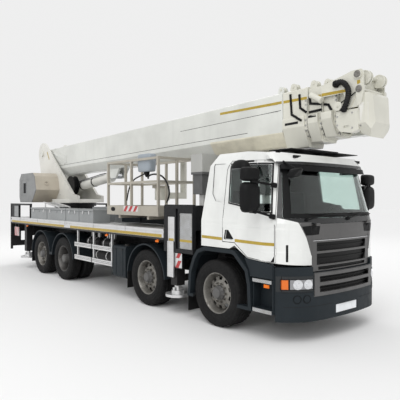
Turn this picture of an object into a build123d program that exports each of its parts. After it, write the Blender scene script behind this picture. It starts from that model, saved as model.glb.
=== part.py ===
from build123d import *
import os
from math import atan2, cos, degrees, hypot, radians, sin, tan

# Truck-mounted aerial platform on four axles.  Lengths are millimetres.
# +X is forward, +Y is the left-hand side, +Z is up, the wheels stand on z = 0.
# While it is modelled, x = 0 is the front axle; export() then moves everything
# so that the row's origin is the centre of the footprint.

os.makedirs("parts", exist_ok=True)

# ---------------------------------------------------------------- driving sizes
AXLE_X = (0.0, -1940.0, -5630.0, -7000.0)   # steered, steered, twin drive, tag
WIDTH = 2440.0                              # across the body sides
HALF = WIDTH / 2
REAR_X = -9400.0                            # back of the tail lamps
RUN = 5.0                                   # clearance between moving pieces
SEAT = 0.3                                  # gap where one piece rests on another

TYRE_R = 520.0
TYRE_W = 375.0
TWIN_W = 285.0
TWIN_GAP = 60.0
RIM_R = 300.0
WHEEL_OUT_Y = HALF - 15.0                   # outer face of every tyre
KINGPIN_Y = HALF - 315.0
KINGPIN_R = 38.0
KNUCKLE_Z = (TYRE_R - 150.0, TYRE_R + 90.0)

RAIL_OUT = 430.0                            # chassis rails
RAIL_FLANGE = 85.0
RAIL_WALL = 10.0
RAIL_Z = (690.0, 970.0)
RAIL_X = (-9150.0, 1150.0)

DECK_Z = (1260.0, 1450.0)
DECK_X = (-9330.0, -1345.0)

CAB_REAR = -310.0
CAB_NOSE = 1500.0                           # foremost point of the cab's skin
CAB_WALL = 55.0
CAB_FLOOR = 1240.0
CAB_LOW = 900.0                             # where the cab's form starts, below its skirt
ROOF_Z = 2690.0
DOOR_FRONT = 1170.0                         # front seam of the doors at waist height
DOOR_HINGE = (DOOR_FRONT, HALF - 72.0)      # door hinge axis, x and y
LID_HINGE = (CAB_NOSE, 1636.0)              # front lid hinge axis, x and z
HINGE_R = 9.0

TURRET_X = -7500.0                          # slew axis
SLEW_R = 620.0
SLEW_Z = 1880.0                             # top of the slewing ring
PLATFORM_T = 110.0
LEG_Y = (330.0, 400.0)                      # turret cheek plates
PIVOT = (-8900.0, 3400.0)                   # boom foot pin, x and z
PIVOT_R = 60.0
CHEEK_R = 330.0

BOOM_PITCH = 0.9                            # stowed boom rises towards the cab
BOOM_HALF = 280.0
BOOM_TOP = 110.0                            # above the foot pin
BOOM_SIDE = -520.0                          # lower edge of the flat sides
BOOM_KEEL = -720.0
BOOM_KEEL_HALF = 150.0
BOOM_WALL = 10.0
BOOM_STEP = 26.0                            # each section is this much smaller all round
BELLY = 18.0                                # reinforcement under the mouth
BOOM_REAR = -420.0                          # behind the foot pin
BOOM_MOUTH = 9470.0                         # front of the outer section
SECTIONS = 5

LIFT_FOOT = (-8150.0, 2235.0)               # lower pin of the lift cylinder
LIFT_EYE = (-5000.0, 2600.0)                # rod eye under the boom
BARREL_R = 125.0
ROD_R = 80.0

HEAD_NOSE = 10985.0                         # boom head's tip along the boom, and its height
HEAD_TIP_Z = -560.0
FRONT_X = PIVOT[0] + HEAD_NOSE * cos(radians(BOOM_PITCH)) - HEAD_TIP_Z * sin(radians(BOOM_PITCH))
MID_X = (FRONT_X + REAR_X) / 2

JIB_PIVOT = (1750.0, 3060.0)
JIB_TIP = (-3060.0, 2960.0)
JIB_Y = (340.0, 560.0)

CAGE_X = (-3580.0, -1680.0)
CAGE_Y = (-1100.0, -200.0)
CAGE_Z = (1660.0, 2770.0)
SWIVEL = (-3060.0, -20.0)                   # cage swivel axis, x and y
DRIVE_TOP = 2220.0                          # top of the swivel drive
RAIL_T = 45.0                               # cage rails and posts

FRONT_JACK_X = (-1100.0, -890.0)            # right, left
REAR_JACK_X = (-8230.0, -8440.0)
JACK_Y = HALF - 135.0
BEAM_W = 170.0
BEAM_H = 270.0
FRONT_BEAM_Z = 1130.0
REAR_BEAM_Z = 985.0
JACK_ROD_R = 58.0
JACK_TUBE = 85.0                            # half width of the jack's square tube
LOCKER_TOP = 1870.0                         # hydraulic lockers beside the portal
FOOT_R = 215.0
TAIL_X = REAR_X + 20.0                      # back of the tail bar
TOW_MID = 640.0                             # drawbar coupling bolts in the tail bar
TOW_Y = 160.0
TOW_Z = 100.0
TOW_R = 10.5
FOOT_Z = 300.0


# ---------------------------------------------------------------- shape helpers
def block(x, y, z):
    """Box from low and high limits along each axis."""
    size = (x[1] - x[0], y[1] - y[0], z[1] - z[0])
    return Pos((x[0] + x[1]) / 2, (y[0] + y[1]) / 2, (z[0] + z[1]) / 2) * Box(*size)


def outline(points, radius=0.0):
    """Closed face through points, with all of its corners rounded by radius."""
    face = make_face(Polyline(*points, close=True))
    return fillet(face.vertices(), radius) if radius else face


def side_prism(face, y):
    """Face drawn in x and z, pulled from y[0] to y[1]."""
    return extrude(Plane((0, y[1], 0), x_dir=(1, 0, 0), z_dir=(0, -1, 0)) * face, amount=y[1] - y[0])


def plan_prism(face, z):
    """Face drawn in x and y, pulled from z[0] to z[1]."""
    return extrude(Pos(0, 0, z[0]) * face, amount=z[1] - z[0])


def front_prism(face, x):
    """Face drawn in y and z, pulled from x[0] to x[1]."""
    return extrude(Plane((x[0], 0, 0), x_dir=(0, 1, 0), z_dir=(1, 0, 0)) * face, amount=x[1] - x[0])


def disc(center, axis, radius, length):
    """Solid cylinder that starts at center and runs along axis."""
    return extrude(Plane(center, z_dir=axis) * Circle(radius), amount=length)


def bar(start, end, radius):
    """Round bar between two points."""
    run = Vector(*end) - Vector(*start)
    return disc(start, run, radius, run.length)


def both(shape):
    """The shape and its mirror image on the other side of the truck."""
    shape = Compound(children=list(shape)) if isinstance(shape, list) else shape
    return shape + mirror(shape, about=Plane.XZ)


def handed(shape, side):
    """A right-hand shape, or its mirror image when side is +1 (left)."""
    return mirror(shape, about=Plane.XZ) if side > 0 else shape


def export(shape, node):
    """Write one sub-part, moved so that the row's origin is the footprint's centre."""
    solids = shape.solids() if hasattr(shape, "solids") else shape
    moved = Compound(children=[Pos(-MID_X, 0, 0) * s for s in solids])
    export_step(moved, f"parts/{node}.step")


# ---------------------------------------------------------------- boom frame
BOOM = Pos(PIVOT[0], 0, PIVOT[1]) * Rot(0, -BOOM_PITCH, 0)


def boom_x(x):
    """Distance along the stowed boom for a place x on the truck."""
    return (x - PIVOT[0]) / cos(radians(BOOM_PITCH))


def boom_keel_z(x):
    """Height of the underside of the outer section at x."""
    return PIVOT[1] + (x - PIVOT[0]) * tan(radians(BOOM_PITCH)) + BOOM_KEEL / cos(radians(BOOM_PITCH))


def boom_face(inset):
    """Cross-section of a boom section: flat sides and a tapered keel."""
    half = [(BOOM_HALF, BOOM_TOP), (BOOM_HALF, BOOM_SIDE), (BOOM_KEEL_HALF, BOOM_KEEL)]
    points = half + [(-y, z) for y, z in reversed(half)]
    face = outline(points, 28.0)
    return offset(face, amount=-inset) if inset else face


def boom_tube(index, x):
    """Hollow telescopic section; index 0 is the outer one."""
    inset = index * BOOM_STEP
    return front_prism(boom_face(inset) - boom_face(inset + BOOM_WALL), x)


# ---------------------------------------------------------------- chassis
def chassis_frame():
    x0, x1 = RAIL_X
    z0, z1 = RAIL_Z
    web = block((x0, x1), (-RAIL_OUT, -RAIL_OUT + RAIL_WALL), (z0, z1))
    flanges = [block((x0, x1), (-RAIL_OUT, -RAIL_OUT + RAIL_FLANGE), z)
               for z in ((z0, z0 + RAIL_WALL), (z1 - RAIL_WALL, z1))]
    frame = both(web + flanges[0] + flanges[1])
    inner = RAIL_OUT - RAIL_WALL
    for x in (x0 + 60, -7700, -6300, -4900, -3600, -2600, -1300, x1 - 60):
        frame += block((x - 50, x + 50), (-inner, inner), (z0 + 60, z1 - 60))
    # subframe longitudinals that carry the deck
    rear_gap = (min(REAR_JACK_X) - BEAM_W, max(REAR_JACK_X) + BEAM_W)
    for x in ((DECK_X[0] + 40, rear_gap[0]), (rear_gap[1], DECK_X[1])):
        frame += both(block(x, (-RAIL_OUT, -RAIL_OUT + RAIL_FLANGE), (z1, DECK_Z[0] - SEAT)))
    return frame


def axles():
    """Four axle beams on leaf springs, with the drive axle's banjo housing."""
    shapes = []
    fist = KINGPIN_Y - KINGPIN_R - RUN
    for number, x in enumerate(AXLE_X):
        steered = number < 2
        beam_z = TYRE_R - 95 if steered else TYRE_R
        if steered:
            beam = block((x - 55, x + 55), (-fist, fist), (beam_z - 60, beam_z + 60))
            for z in (KNUCKLE_Z[0] - 45, KNUCKLE_Z[1] + SEAT):
                beam += both(block((x - 50, x + 50), (-KINGPIN_Y - 45, -fist + 60), (z, z + 45 - SEAT)))
            beam += both(block((x - 50, x + 50), (-fist, -fist + 60), (KNUCKLE_Z[0] - 45, KNUCKLE_Z[1] + 40)))
        else:
            end = -disc_back(number) - SEAT
            beam = bar((x, -end, beam_z), (x, end, beam_z), 85.0)
            beam += Pos(x, 0, beam_z) * Sphere(215.0 if number == 2 else 110.0)
        spring = block((x - 620, x + 620), (-RAIL_OUT - 0, -RAIL_OUT + 80), (RAIL_Z[0] - 62, RAIL_Z[0] - SEAT))
        saddle = block((x - 110, x + 110), (-RAIL_OUT + 0, -RAIL_OUT + 80), (beam_z + 40, RAIL_Z[0] - 60))
        shapes.append(beam + both(spring + saddle))
    return Compound(children=shapes)


def engine_block():
    body = block((-180, 900), (-330, 330), (RAIL_Z[0] + 60, CAB_FLOOR - 20))
    body -= both(block((-200, 920), (-340, -300), (RAIL_Z[0], RAIL_Z[1] + 20)))
    body += both(block((200, 300), (-RAIL_OUT + RAIL_WALL + SEAT, -299), (780, 850)))
    return body


# ---------------------------------------------------------------- wheels
WHEELS = (                                  # tyre width, tyres per wheel, depth of the dish
    (TYRE_W, 1, 70.0),
    (TYRE_W, 1, 70.0),
    (TWIN_W, 2, 200.0),
    (TYRE_W, 1, 62.0),
)
RIM_LIP = 58.0                              # rim flange, in from the tyre's face
DISC_T = 22.0


def disc_back(number):
    """Inner face of a right-hand wheel's disc, where its hub seats."""
    return -WHEEL_OUT_Y + RIM_LIP + WHEELS[number][2] + DISC_T


def tyre(y0, y1):
    """Tyre as a turned ring about the Y axis, from y0 (outer face) to y1."""
    w = y1 - y0
    shoulder = 0.11 * w
    points = [(RIM_R, y0 + RIM_LIP), (0.8 * TYRE_R, y0), (TYRE_R - 40, y0 + 10), (TYRE_R, y0 + shoulder),
              (TYRE_R, y1 - shoulder), (TYRE_R - 40, y1 - 10), (0.8 * TYRE_R, y1), (RIM_R, y1 - RIM_LIP)]
    return revolve(outline(points), axis=Axis.Y)


def rim(y0, y1, dish, hub_r):
    """Wheel disc: flange at y0, barrel to y1, disc set in by dish, hub in the middle."""
    r = RIM_R - SEAT
    face = y0 + RIM_LIP + dish
    points = [(0, face - 60), (hub_r * 0.6, face - 60), (hub_r * 0.72, face - 25), (hub_r, face - 10),
              (r - 75, face), (r - 45, y0 + RIM_LIP - 20), (r, y0 + RIM_LIP - 28), (r, y0 + RIM_LIP),
              (r - 16, y0 + RIM_LIP + 16), (r - 16, y1 - RIM_LIP - 16), (r, y1 - RIM_LIP), (r, y1 - RIM_LIP + 28),
              (r - 40, y1 - RIM_LIP + 20), (r - 40, face + DISC_T), (0, face + DISC_T)]
    return revolve(outline(points), axis=Axis.Y)


def wheel(number, side):
    """Right-hand wheel of an axle: single, or twin on the drive axle."""
    width, count, dish = WHEELS[number]
    out = -WHEEL_OUT_Y
    end = out + count * width + (count - 1) * TWIN_GAP
    body = rim(out, end, dish, 165.0 if count > 1 else 150.0)
    for place in range(count):
        y0 = out + place * (width + TWIN_GAP)
        body += tyre(y0, y0 + width)
    return handed(Pos(AXLE_X[number], 0, TYRE_R) * body, side)


def knuckle(number, side):
    """Steering knuckle: kingpin post, stub axle and steering arm."""
    x = AXLE_X[number]
    post = bar((x, -KINGPIN_Y, KNUCKLE_Z[0]), (x, -KINGPIN_Y, KNUCKLE_Z[1]), KINGPIN_R)
    stub = bar((x, -KINGPIN_Y, TYRE_R), (x, disc_back(number) + SEAT, TYRE_R), 60.0)
    flange = bar((x, -KINGPIN_Y - 70, TYRE_R), (x, -KINGPIN_Y - 95, TYRE_R), 150.0)
    return handed(post + stub + flange, side)


# ---------------------------------------------------------------- cab
CAB_PLANS = (                               # height, rear x, half width, and the front corner's
    # z     rear      half         straight x, corner's middle, shoulder, nose x
    (1640.0, CAB_REAR, HALF, 960.0, (1300.0, HALF - 180.0), (1460.0, HALF - 560.0), CAB_NOSE),
    (2500.0, CAB_REAR + 88.0, HALF - 115.0, 800.0, (1085.0, HALF - 265.0), (1240.0, HALF - 600.0), 1285.0),
    (ROOF_Z, CAB_REAR + 190.0, HALF - 230.0, 700.0, (930.0, HALF - 365.0), (1060.0, HALF - 680.0), 1095.0),
)
CORNER_OUT = (0.66, 0.75)                   # outward normals at the corner's middle and shoulder
SHOULDER_OUT = (0.93, 0.30)


def cab_plan(row, inset):
    """Outline of the cab seen from above at one height, drawn in by inset."""
    z, rear, half, straight, middle, shoulder, nose = row
    rear += inset
    half -= inset
    middle = [value - inset * normal for value, normal in zip(middle, CORNER_OUT)]
    shoulder = [value - inset * normal for value, normal in zip(shoulder, SHOULDER_OUT)]
    nose -= inset
    edges = [Line((rear, half), (rear, -half)), Line((rear, -half), (straight, -half)),
             ThreePointArc((straight, -half), (middle[0], -middle[1]), (shoulder[0], -shoulder[1])),
             ThreePointArc((shoulder[0], -shoulder[1]), (nose, 0), tuple(shoulder)),
             ThreePointArc(tuple(shoulder), tuple(middle), (straight, half)), Line((straight, half), (rear, half))]
    return make_face(edges), z


def cab_block(inset):
    """Closed cab form, drawn in from its outer skin by inset on every side."""
    (waist, waist_z), (belt, belt_z), (crown, crown_z) = [cab_plan(row, inset) for row in CAB_PLANS]
    body = plan_prism(waist, (CAB_LOW - 200, waist_z))
    body += loft([Pos(0, 0, waist_z) * waist, Pos(0, 0, belt_z) * belt], ruled=True)
    body += loft([Pos(0, 0, belt_z) * belt, Pos(0, 0, crown_z - inset) * crown], ruled=True)
    slope = outline([(500, ROOF_Z - inset), (1600, ROOF_Z - 110 - inset), (1600, 3200), (500, 3200)])
    return body - side_prism(slope, (-HALF - 200, HALF + 200))


SKIRT = [(CAB_REAR - 60, 1240), (330, 1240), (440, 1292), (705, 1135), (DOOR_FRONT, 1095), (1600, 1052)]


def cab_forms():
    """Outer form and the form that its walls leave inside, built once."""
    outer = cab_block(0.0)
    inner = cab_block(CAB_WALL)
    side = (-HALF - 60, HALF + 60)
    low = side_prism(outline(SKIRT + [(1600, 0), (CAB_REAR - 60, 0)]), side)
    middle = block((900, 1700), (-PANEL_HALF - RUN, PANEL_HALF + RUN), (PANEL_Z[0] - RUN, 1200))
    outer -= low - middle
    return outer, inner


DOOR = [(180, 1330), (180, 2430), (250, 2560), (1030, 2530), (1085, 2480), (DOOR_FRONT, 1720),
        (DOOR_FRONT, 1100), (705, 1140), (480, 1300), (440, 1330)]
DOOR_WINDOW = [(300, 1930), (272, 2490), (1005, 2465), (1085, 1800), (740, 1800), (520, 1895)]
QUARTER = [(-128, 2530), (118, 2525), (118, 1930), (-20, 1950), (-105, 2060)]
ARCH = [(-650, 380), (-613, 800), (-505, 1050), (-408, 1166), (-240, 1227), (400, 1227), (470, 1200),
        (719, 971), (770, 760), (790, 380)]
SCREEN = [(HALF - 140, 1712), (HALF - 270, 2440), (-HALF + 270, 2440), (-HALF + 140, 1712)]
PANEL_HALF = HALF - 500.0
PANEL_Z = (975.0, 1635.0)
SIDE_Y = (-HALF - 80.0, -HALF + 260.0)      # cuts through the right-hand side wall


def grown(points, amount):
    """Closed outline moved outwards (or inwards, if amount is negative)."""
    return offset(outline(points), amount=amount)


def door_cut(amount=0.0):
    return side_prism(grown(DOOR, amount) if amount else outline(DOOR), SIDE_Y)


def door_window(amount=0.0):
    face = outline(DOOR_WINDOW, 25.0)
    return side_prism(offset(face, amount=amount) if amount else face, SIDE_Y)


def door_hinges(play=0.0):
    x, y = DOOR_HINGE
    return [disc((x, -y, z - play), (0, 0, 1), HINGE_R + play, 90 + 2 * play) for z in (1210, 1600)]


LID_HINGE_Y = (HALF - 620.0, HALF - 540.0)


def lid_hinges():
    """The lid's two hinge barrels on their goose-neck arms."""
    x, z = LID_HINGE
    y0, y1 = LID_HINGE_Y
    arm = block((x - 75, x), (-y1, -y0), (z - 28, z - RUN - 1)) + block((x - 8, x), (-y1, -y0), (z - 28, z))
    return both(arm + disc((x, -y1, z), (0, 1, 0), HINGE_R, y1 - y0))


def lid_brackets():
    """Fixed barrels beside the lid's, each on an arm from the sill of the windscreen."""
    x, z = LID_HINGE
    y0 = LID_HINGE_Y[1] + SEAT
    arm = block((x - 75, x), (-y0 - 34, -y0), (z + 3, z + HINGE_R))
    return both(arm + disc((x, -y0 - 34, z), (0, 1, 0), HINGE_R, 34))


BROW = [(930, 2478), (1600, 2440), (1600, 2500), (1365, 2600), (1160, ROOF_Z - 68), (930, ROOF_Z - 50)]
BROW_OUT = 75.0
VISOR_OUT = 92.0
CAB_BRACKET_X = ((-250, -150), (990, 1090))


def cab_shell(outer, inner):
    """Hollow cab with its windows, doorways, front opening, brow and wheel arches cut."""
    shell = outer - (inner - block((CAB_REAR, CAB_NOSE), (-HALF, HALF), (CAB_FLOOR, CAB_FLOOR + 60)))
    shell -= both(door_cut())
    shell -= both(side_prism(grown(ARCH, SEAT), (-HALF - 80, -HALF + 620)))
    shell -= front_prism(outline(SCREEN), (900, CAB_NOSE + 80))
    opening = block((CAB_NOSE - 220, CAB_NOSE + 60), (-PANEL_HALF - RUN, PANEL_HALF + RUN), (900, PANEL_Z[1]))
    shell -= opening
    rear_window = block((CAB_REAR - 50, CAB_REAR + 200), (-420, 420), (1900, 2300))
    recess = both(side_prism(outline(QUARTER), SIDE_Y) & (outer - cab_block(12.0)))
    shell -= rear_window + recess
    brow = (cab_block(-BROW_OUT) - cab_block(8.0)) & side_prism(outline(BROW), (-HALF + 150, HALF - 150))
    shell += brow - both(side_prism(grown(DOOR, 2 * RUN), SIDE_Y))
    for x in CAB_BRACKET_X:
        shell += both(block(x, (-RAIL_OUT, -RAIL_OUT + RAIL_FLANGE), (RAIL_Z[1] + SEAT, CAB_FLOOR + 1)))
    return (shell + lid_brackets()) - both(door_hinges(SEAT))


def windscreen(outer):
    pane = outer & front_prism(grown(SCREEN, -0.5), (900, CAB_NOSE + 80))
    return pane - cab_block(14.0)


def door(outer, inner, side):
    """Door leaf as thick as the wall, with its window, handle recess and hinge barrels."""
    leaf = (outer & door_cut(-RUN)) - inner
    leaf -= door_window()
    leaf -= side_prism(outline([(212, 1370), (240, 1520), (300, 1520), (425, 1370)], 20), (-HALF - 1, -HALF + 25))
    for barrel in door_hinges():
        leaf += barrel
    return handed(leaf, side)


def door_glass(outer, side):
    pane = outer & door_window(-0.5)
    return handed(pane - cab_block(12.0), side)


GRILLE_SLOTS = (                            # low z, high z and half width of each slot's mouth
    (1250.0, 1372.0, PANEL_HALF - 95.0),
    (1062.0, 1218.0, PANEL_HALF - 95.0),
    (992.0, 1036.0, PANEL_HALF - 120.0),
)


def slot_face(z0, z1, half):
    """Mouth of a grille slot: a wide hexagon whose ends slant in at the bottom."""
    cut = 0.45 * (z1 - z0)
    return outline([(-half + cut, z0), (half - cut, z0), (half, z1 - cut * 0.5), (half - 20, z1), (-half + 20, z1),
                    (-half, z1 - cut * 0.5)])


def front_panel(outer):
    """Upper grille lid with its three slots; it hinges up at its top edge."""
    lid = outer & block((CAB_NOSE - 220, CAB_NOSE + 60), (-PANEL_HALF, PANEL_HALF), (PANEL_Z[0], PANEL_Z[1] - RUN))
    lid -= cab_block(CAB_WALL)
    for z0, z1, half in GRILLE_SLOTS:
        pocket = cab_block(-60.0) - cab_block(34.0)
        lid -= pocket & front_prism(slot_face(z0, z1, half), (CAB_NOSE - 220, CAB_NOSE + 80))
        middle = (z0 + z1) / 2
        vane = (cab_block(20.0) - cab_block(36.0)) & block((900, 1700), (-half, half), (middle - 9, middle + 9))
        lid += vane
    groove = block((900, 1700), (-PANEL_HALF - 1, PANEL_HALF + 1), (1406, 1416))
    lid -= groove & (cab_block(-60.0) - cab_block(8.0))
    return lid + lid_hinges()


def roof_trim(outer):
    """Dark visor under the roof's brow, the roof's guard plate and the front mirror."""
    zone = side_prism(outline([(1150, 2462), (1600, 2424), (1600, 2330), (1150, 2400)]), (-HALF + 190, HALF - 190))
    visor = (cab_block(-VISOR_OUT) - cab_block(-BROW_OUT + 12.0)) & zone
    for y in (-600, 0, 600):
        visor += (cab_block(-BROW_OUT) - cab_block(-SEAT)) & block((1100, 1500), (y - 9, y + 9), (2428, 2446))
    plate = block((780, 1200), (-HALF + 380, HALF - 380), (ROOF_Z - 6, ROOF_Z + 4))
    for y in (-700, -250, 250, 700):
        plate += block((800, 860), (y - 20, y + 20), (ROOF_Z - 30, ROOF_Z - 5)) - cab_block(-SEAT)
    return visor + plate


def cab_interior():
    """Two seats, dashboard and steering wheel on the cab floor."""
    floor = CAB_FLOOR + 60 + SEAT
    seat_y = HALF / 2
    shapes = []
    for y in (-seat_y, seat_y):
        seat = block((230, 760), (y - 250, y + 250), (floor, 1560))
        seat += side_prism(outline([(60, 1500), (180, 1480), (120, 2080), (20, 2120)], 20), (y - 230, y + 230))
        seat += block((100, 300), (y - 230, y + 230), (1450, 1560))
        shapes.append(seat)
    dash = side_prism(outline([(930, floor), (1190, floor), (1230, 1560), (1150, 1640), (960, 1610)], 30),
                      (-HALF + 250, HALF - 250))
    column = bar((980, seat_y, 1560), (850, seat_y, 1700), 30.0)
    hub = Location((840, seat_y, 1710), (0, -47, 0))
    wheel_ring = hub * Torus(215.0, 16.0)
    spoke = hub * Box(60, 430, 14)
    shapes.append(dash + column + wheel_ring + spoke)
    return Compound(children=shapes)


BUMPER_Z = (300.0, 690.0)
BUMPER_PLAN = (                             # straight x, corner's middle, shoulder and nose x
    (1050.0, HALF), (1330.0, HALF - 190.0), (1500.0, HALF - 560.0), 1545.0)
LAMP_Z = (715.0, 925.0)
LAMP_DEEP = 190.0
STEP_X = (798.0, 1168.0)
STEPS = ((400.0, 455.0), (815.0, 866.0))


def bumper_plan(inset):
    straight, middle, shoulder, nose = BUMPER_PLAN
    half = HALF - inset
    back = STEP_X[1] + RUN
    middle = [value - inset * normal for value, normal in zip(middle, CORNER_OUT)]
    shoulder = [value - inset * normal for value, normal in zip(shoulder, SHOULDER_OUT)]
    start = (back, -HALF + 55.0 + inset)
    edges = [Line((back, -start[1]), start),
             ThreePointArc(start, (middle[0], -middle[1]), (shoulder[0], -shoulder[1])),
             ThreePointArc((shoulder[0], -shoulder[1]), (nose - inset, 0), tuple(shoulder)),
             ThreePointArc(tuple(shoulder), tuple(middle), (back, -start[1]))]
    return make_face(edges)


def lamp_zone(play):
    """Space of one right-hand headlamp, from the step to the lower grille."""
    return block((STEP_X[1] + 2 * RUN - play, 1700), (-HALF - 50, -PANEL_HALF - 12 + play),
                 (LAMP_Z[0] - play, LAMP_Z[1] + play))


def bumper():
    """Front bumper with its lower grille, lamp housings and the entry steps."""
    skin = bumper_plan(0.0)
    body = plan_prism(skin, (BUMPER_Z[0], 1046))
    body -= plan_prism(bumper_plan(60.0), (BUMPER_Z[0] - 1, BUMPER_Z[1] - 60))
    body -= plan_prism(bumper_plan(230.0), (BUMPER_Z[0] - 1, 1100))
    inner = PANEL_HALF + 3 * RUN
    body -= block((STEP_X[1] - 10, 1700), (-inner, inner), (PANEL_Z[0] - 2 * RUN, 1100))
    body -= both(lamp_zone(SEAT) & plan_prism(bumper_plan(-50.0), (0, 1100)) - plan_prism(bumper_plan(LAMP_DEEP), (0, 1100)))
    # lower grille: a raised frame with two slots
    frame = front_prism(outline([(-PANEL_HALF, 640), (PANEL_HALF, 640), (PANEL_HALF + 2, 958), (-PANEL_HALF - 2, 958)], 12.0),
                        (1300, 1700))
    body += (plan_prism(bumper_plan(-14.0), (600, 960)) - plan_prism(bumper_plan(5.0), (590, 970))) & frame
    for z0, z1 in ((828, 912), (690, 780)):
        mouth = front_prism(slot_face(z0, z1, PANEL_HALF - 85.0), (1200, 1700))
        body -= mouth & (plan_prism(bumper_plan(-40.0), (600, 960)) - plan_prism(bumper_plan(40.0), (590, 970)))
        middle = (z0 + z1) / 2
        bars = plan_prism(bumper_plan(24.0), (middle - 7, middle + 7)) - plan_prism(bumper_plan(44.0), (0, 1100))
        body += bars & frame
    # centre recess for the number plate, tow-pin hole and fog lamp pockets
    body -= block((1525, 1600), (-275, 275), (350, 480))
    for y in (HALF - 190, HALF - 262):
        body -= both(disc((1700, -y, 615), (-1, 0, 0), 42, 300) - plan_prism(bumper_plan(16.0), (0, 1100)))
    # steps and the dark panel over them
    tread_y = (-HALF, -HALF + 190)
    for z in STEPS:
        body += both(block(STEP_X, tread_y, z))
    for x in (STEP_X[0], STEP_X[1] - 14):
        body += both(block((x, x + 14), (-HALF + 20, -HALF + 190), (STEPS[0][0], 1040)))
    body += both(block(STEP_X, (-HALF + 176, -HALF + 190), (STEPS[0][0], 1040)))
    body += both(side_prism(outline([(752, 880), (STEP_X[1], 880), (STEP_X[1], 1088), (640, 1134), (725, 985)]),
                            (-HALF + 6, -HALF + 40)))
    body += both(block((STEP_X[1] - 14, STEP_X[1] + 30), (-HALF + 100, -HALF + 190), (STEPS[0][0], STEPS[0][0] + 200)))
    rail_y = (-RAIL_OUT, -RAIL_OUT + RAIL_FLANGE)
    body += both(block((RAIL_X[1] + SEAT, 1420), rail_y, (RAIL_Z[0], 900)))
    body += both(block((1280, 1420), rail_y, (600, 900)))
    return body


# ---------------------------------------------------------------- body and deck
GUARD_R = 632.0
FLARE = 60.0                                # width of the front arch's rim, seen from the side
ARCH_INNER_Y = -HALF + 540.0


def steered_tyre():
    """Space that the right-hand front tyre sweeps as it steers, as a stack of discs."""
    space = None
    for z0, z1 in ((0.0, 760.0), (760.0, 900.0), (900.0, 1000.0), (1000.0, 1046.0)):
        chord = (TYRE_R**2 - max(z0 - TYRE_R, 0.0) ** 2) ** 0.5
        layer = disc((0, -KINGPIN_Y, z0), (0, 0, 1), hypot(chord, WHEEL_OUT_Y - KINGPIN_Y) + RUN, z1 - z0)
        space = layer if space is None else space + layer
    return space


def front_arch():
    """Slate arch round the front wheel: a rim outside and a thin liner inboard of it."""
    outer = outline(ARCH)
    floor = block((-700, 820), (-HALF - 60, 0), (300, 392))
    rim = side_prism(outer, (-HALF - 14, -HALF + 90)) - side_prism(grown(ARCH, -FLARE), (-HALF - 20, -HALF + 92))
    liner = side_prism(outer, (-HALF + 90, ARCH_INNER_Y)) - side_prism(grown(ARCH, -8.0), (-HALF + 88, ARCH_INNER_Y + 2))
    return rim + liner - floor - steered_tyre()


def mudguards():
    """Turned guards over the rear three axles, arches over the first, and a mudflap behind it."""
    wall = 10.0
    guards = []
    for x, y0, y1 in ((AXLE_X[1], -HALF, -HALF + 420), (AXLE_X[2], -HALF, -RAIL_OUT - 130), (AXLE_X[3], -HALF, -HALF + 440)):
        ring = disc((x, y1, TYRE_R), (0, -1, 0), GUARD_R, y1 - y0)
        ring -= disc((x, y1, TYRE_R), (0, -1, 0), GUARD_R - wall, y1 - y0)
        lip = disc((x, y0 + 24, TYRE_R), (0, -1, 0), GUARD_R, 24) - disc((x, y0 + 24, TYRE_R), (0, -1, 0), GUARD_R - 26, 24)
        ring = (ring + lip) & block((x - 700, x + 700), (y0, y1), (560, 1300))
        for stay_x in (x - 505, x + 505):
            ring += bar((stay_x, y1 - 60, 900), (stay_x, -RAIL_OUT - SEAT, 900), 22.0)
        guards.append(ring)
    bridge = block((AXLE_X[3] + GUARD_R - 14, AXLE_X[2] - GUARD_R + 14), (-HALF, -HALF + 440), (565, 625))
    stay = bar((-590, ARCH_INNER_Y - 60, 780), (-590, -RAIL_OUT - SEAT, 780), 20.0)
    return both(guards[0]) + both(guards[1] + bridge + guards[2]) + both(front_arch() + stay)


def deck():
    """Deck on cross ribs, with a grooved edge profile down both sides."""
    x0, x1 = DECK_X
    z0, z1 = DECK_Z
    slab = block((x0, x1), (-HALF, HALF), (z0, z1))
    slab -= block((x0 + 60, x1 - 60), (-HALF + 45, HALF - 45), (z0 - 1, z1 - 40))
    slab -= both(block((x0 - 1, x1 + 1), (-HALF - 1, -HALF + 12), (z1 - 62, z1 - 40)))
    slab -= both(block((x0 - 1, x1 + 1), (-HALF - 1, -HALF + 8), (z0 + 26, z0 + 36)))
    for x in range(int(x0) + 700, int(x1) - 300, 900):
        slab += block((x - 30, x + 30), (-HALF + 40, HALF - 40), (z0, z1 - 20))
    for x in (-5420, -5260):
        slab += both(block((x, x + 50), (-HALF, -HALF + 60), (z1 - 70, z1 - 5)))
    return slab


def slew_base():
    z0 = DECK_Z[1] + SEAT
    base = disc((TURRET_X, 0, z0), (0, 0, 1), SLEW_R + 60, 60)
    base += disc((TURRET_X, 0, z0), (0, 0, 1), SLEW_R - 60, SLEW_Z - z0 - SEAT)
    base += disc((TURRET_X, 0, SLEW_Z - 90), (0, 0, 1), SLEW_R, 90 - SEAT)
    return base


LOCKER_Y = (-HALF, -HALF + 430.0)
LOCKERS = ((-7700.0, -6580.0), (-6560.0, -5425.0), (-5405.0, -4700.0), (-4690.0, -3990.0))


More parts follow.
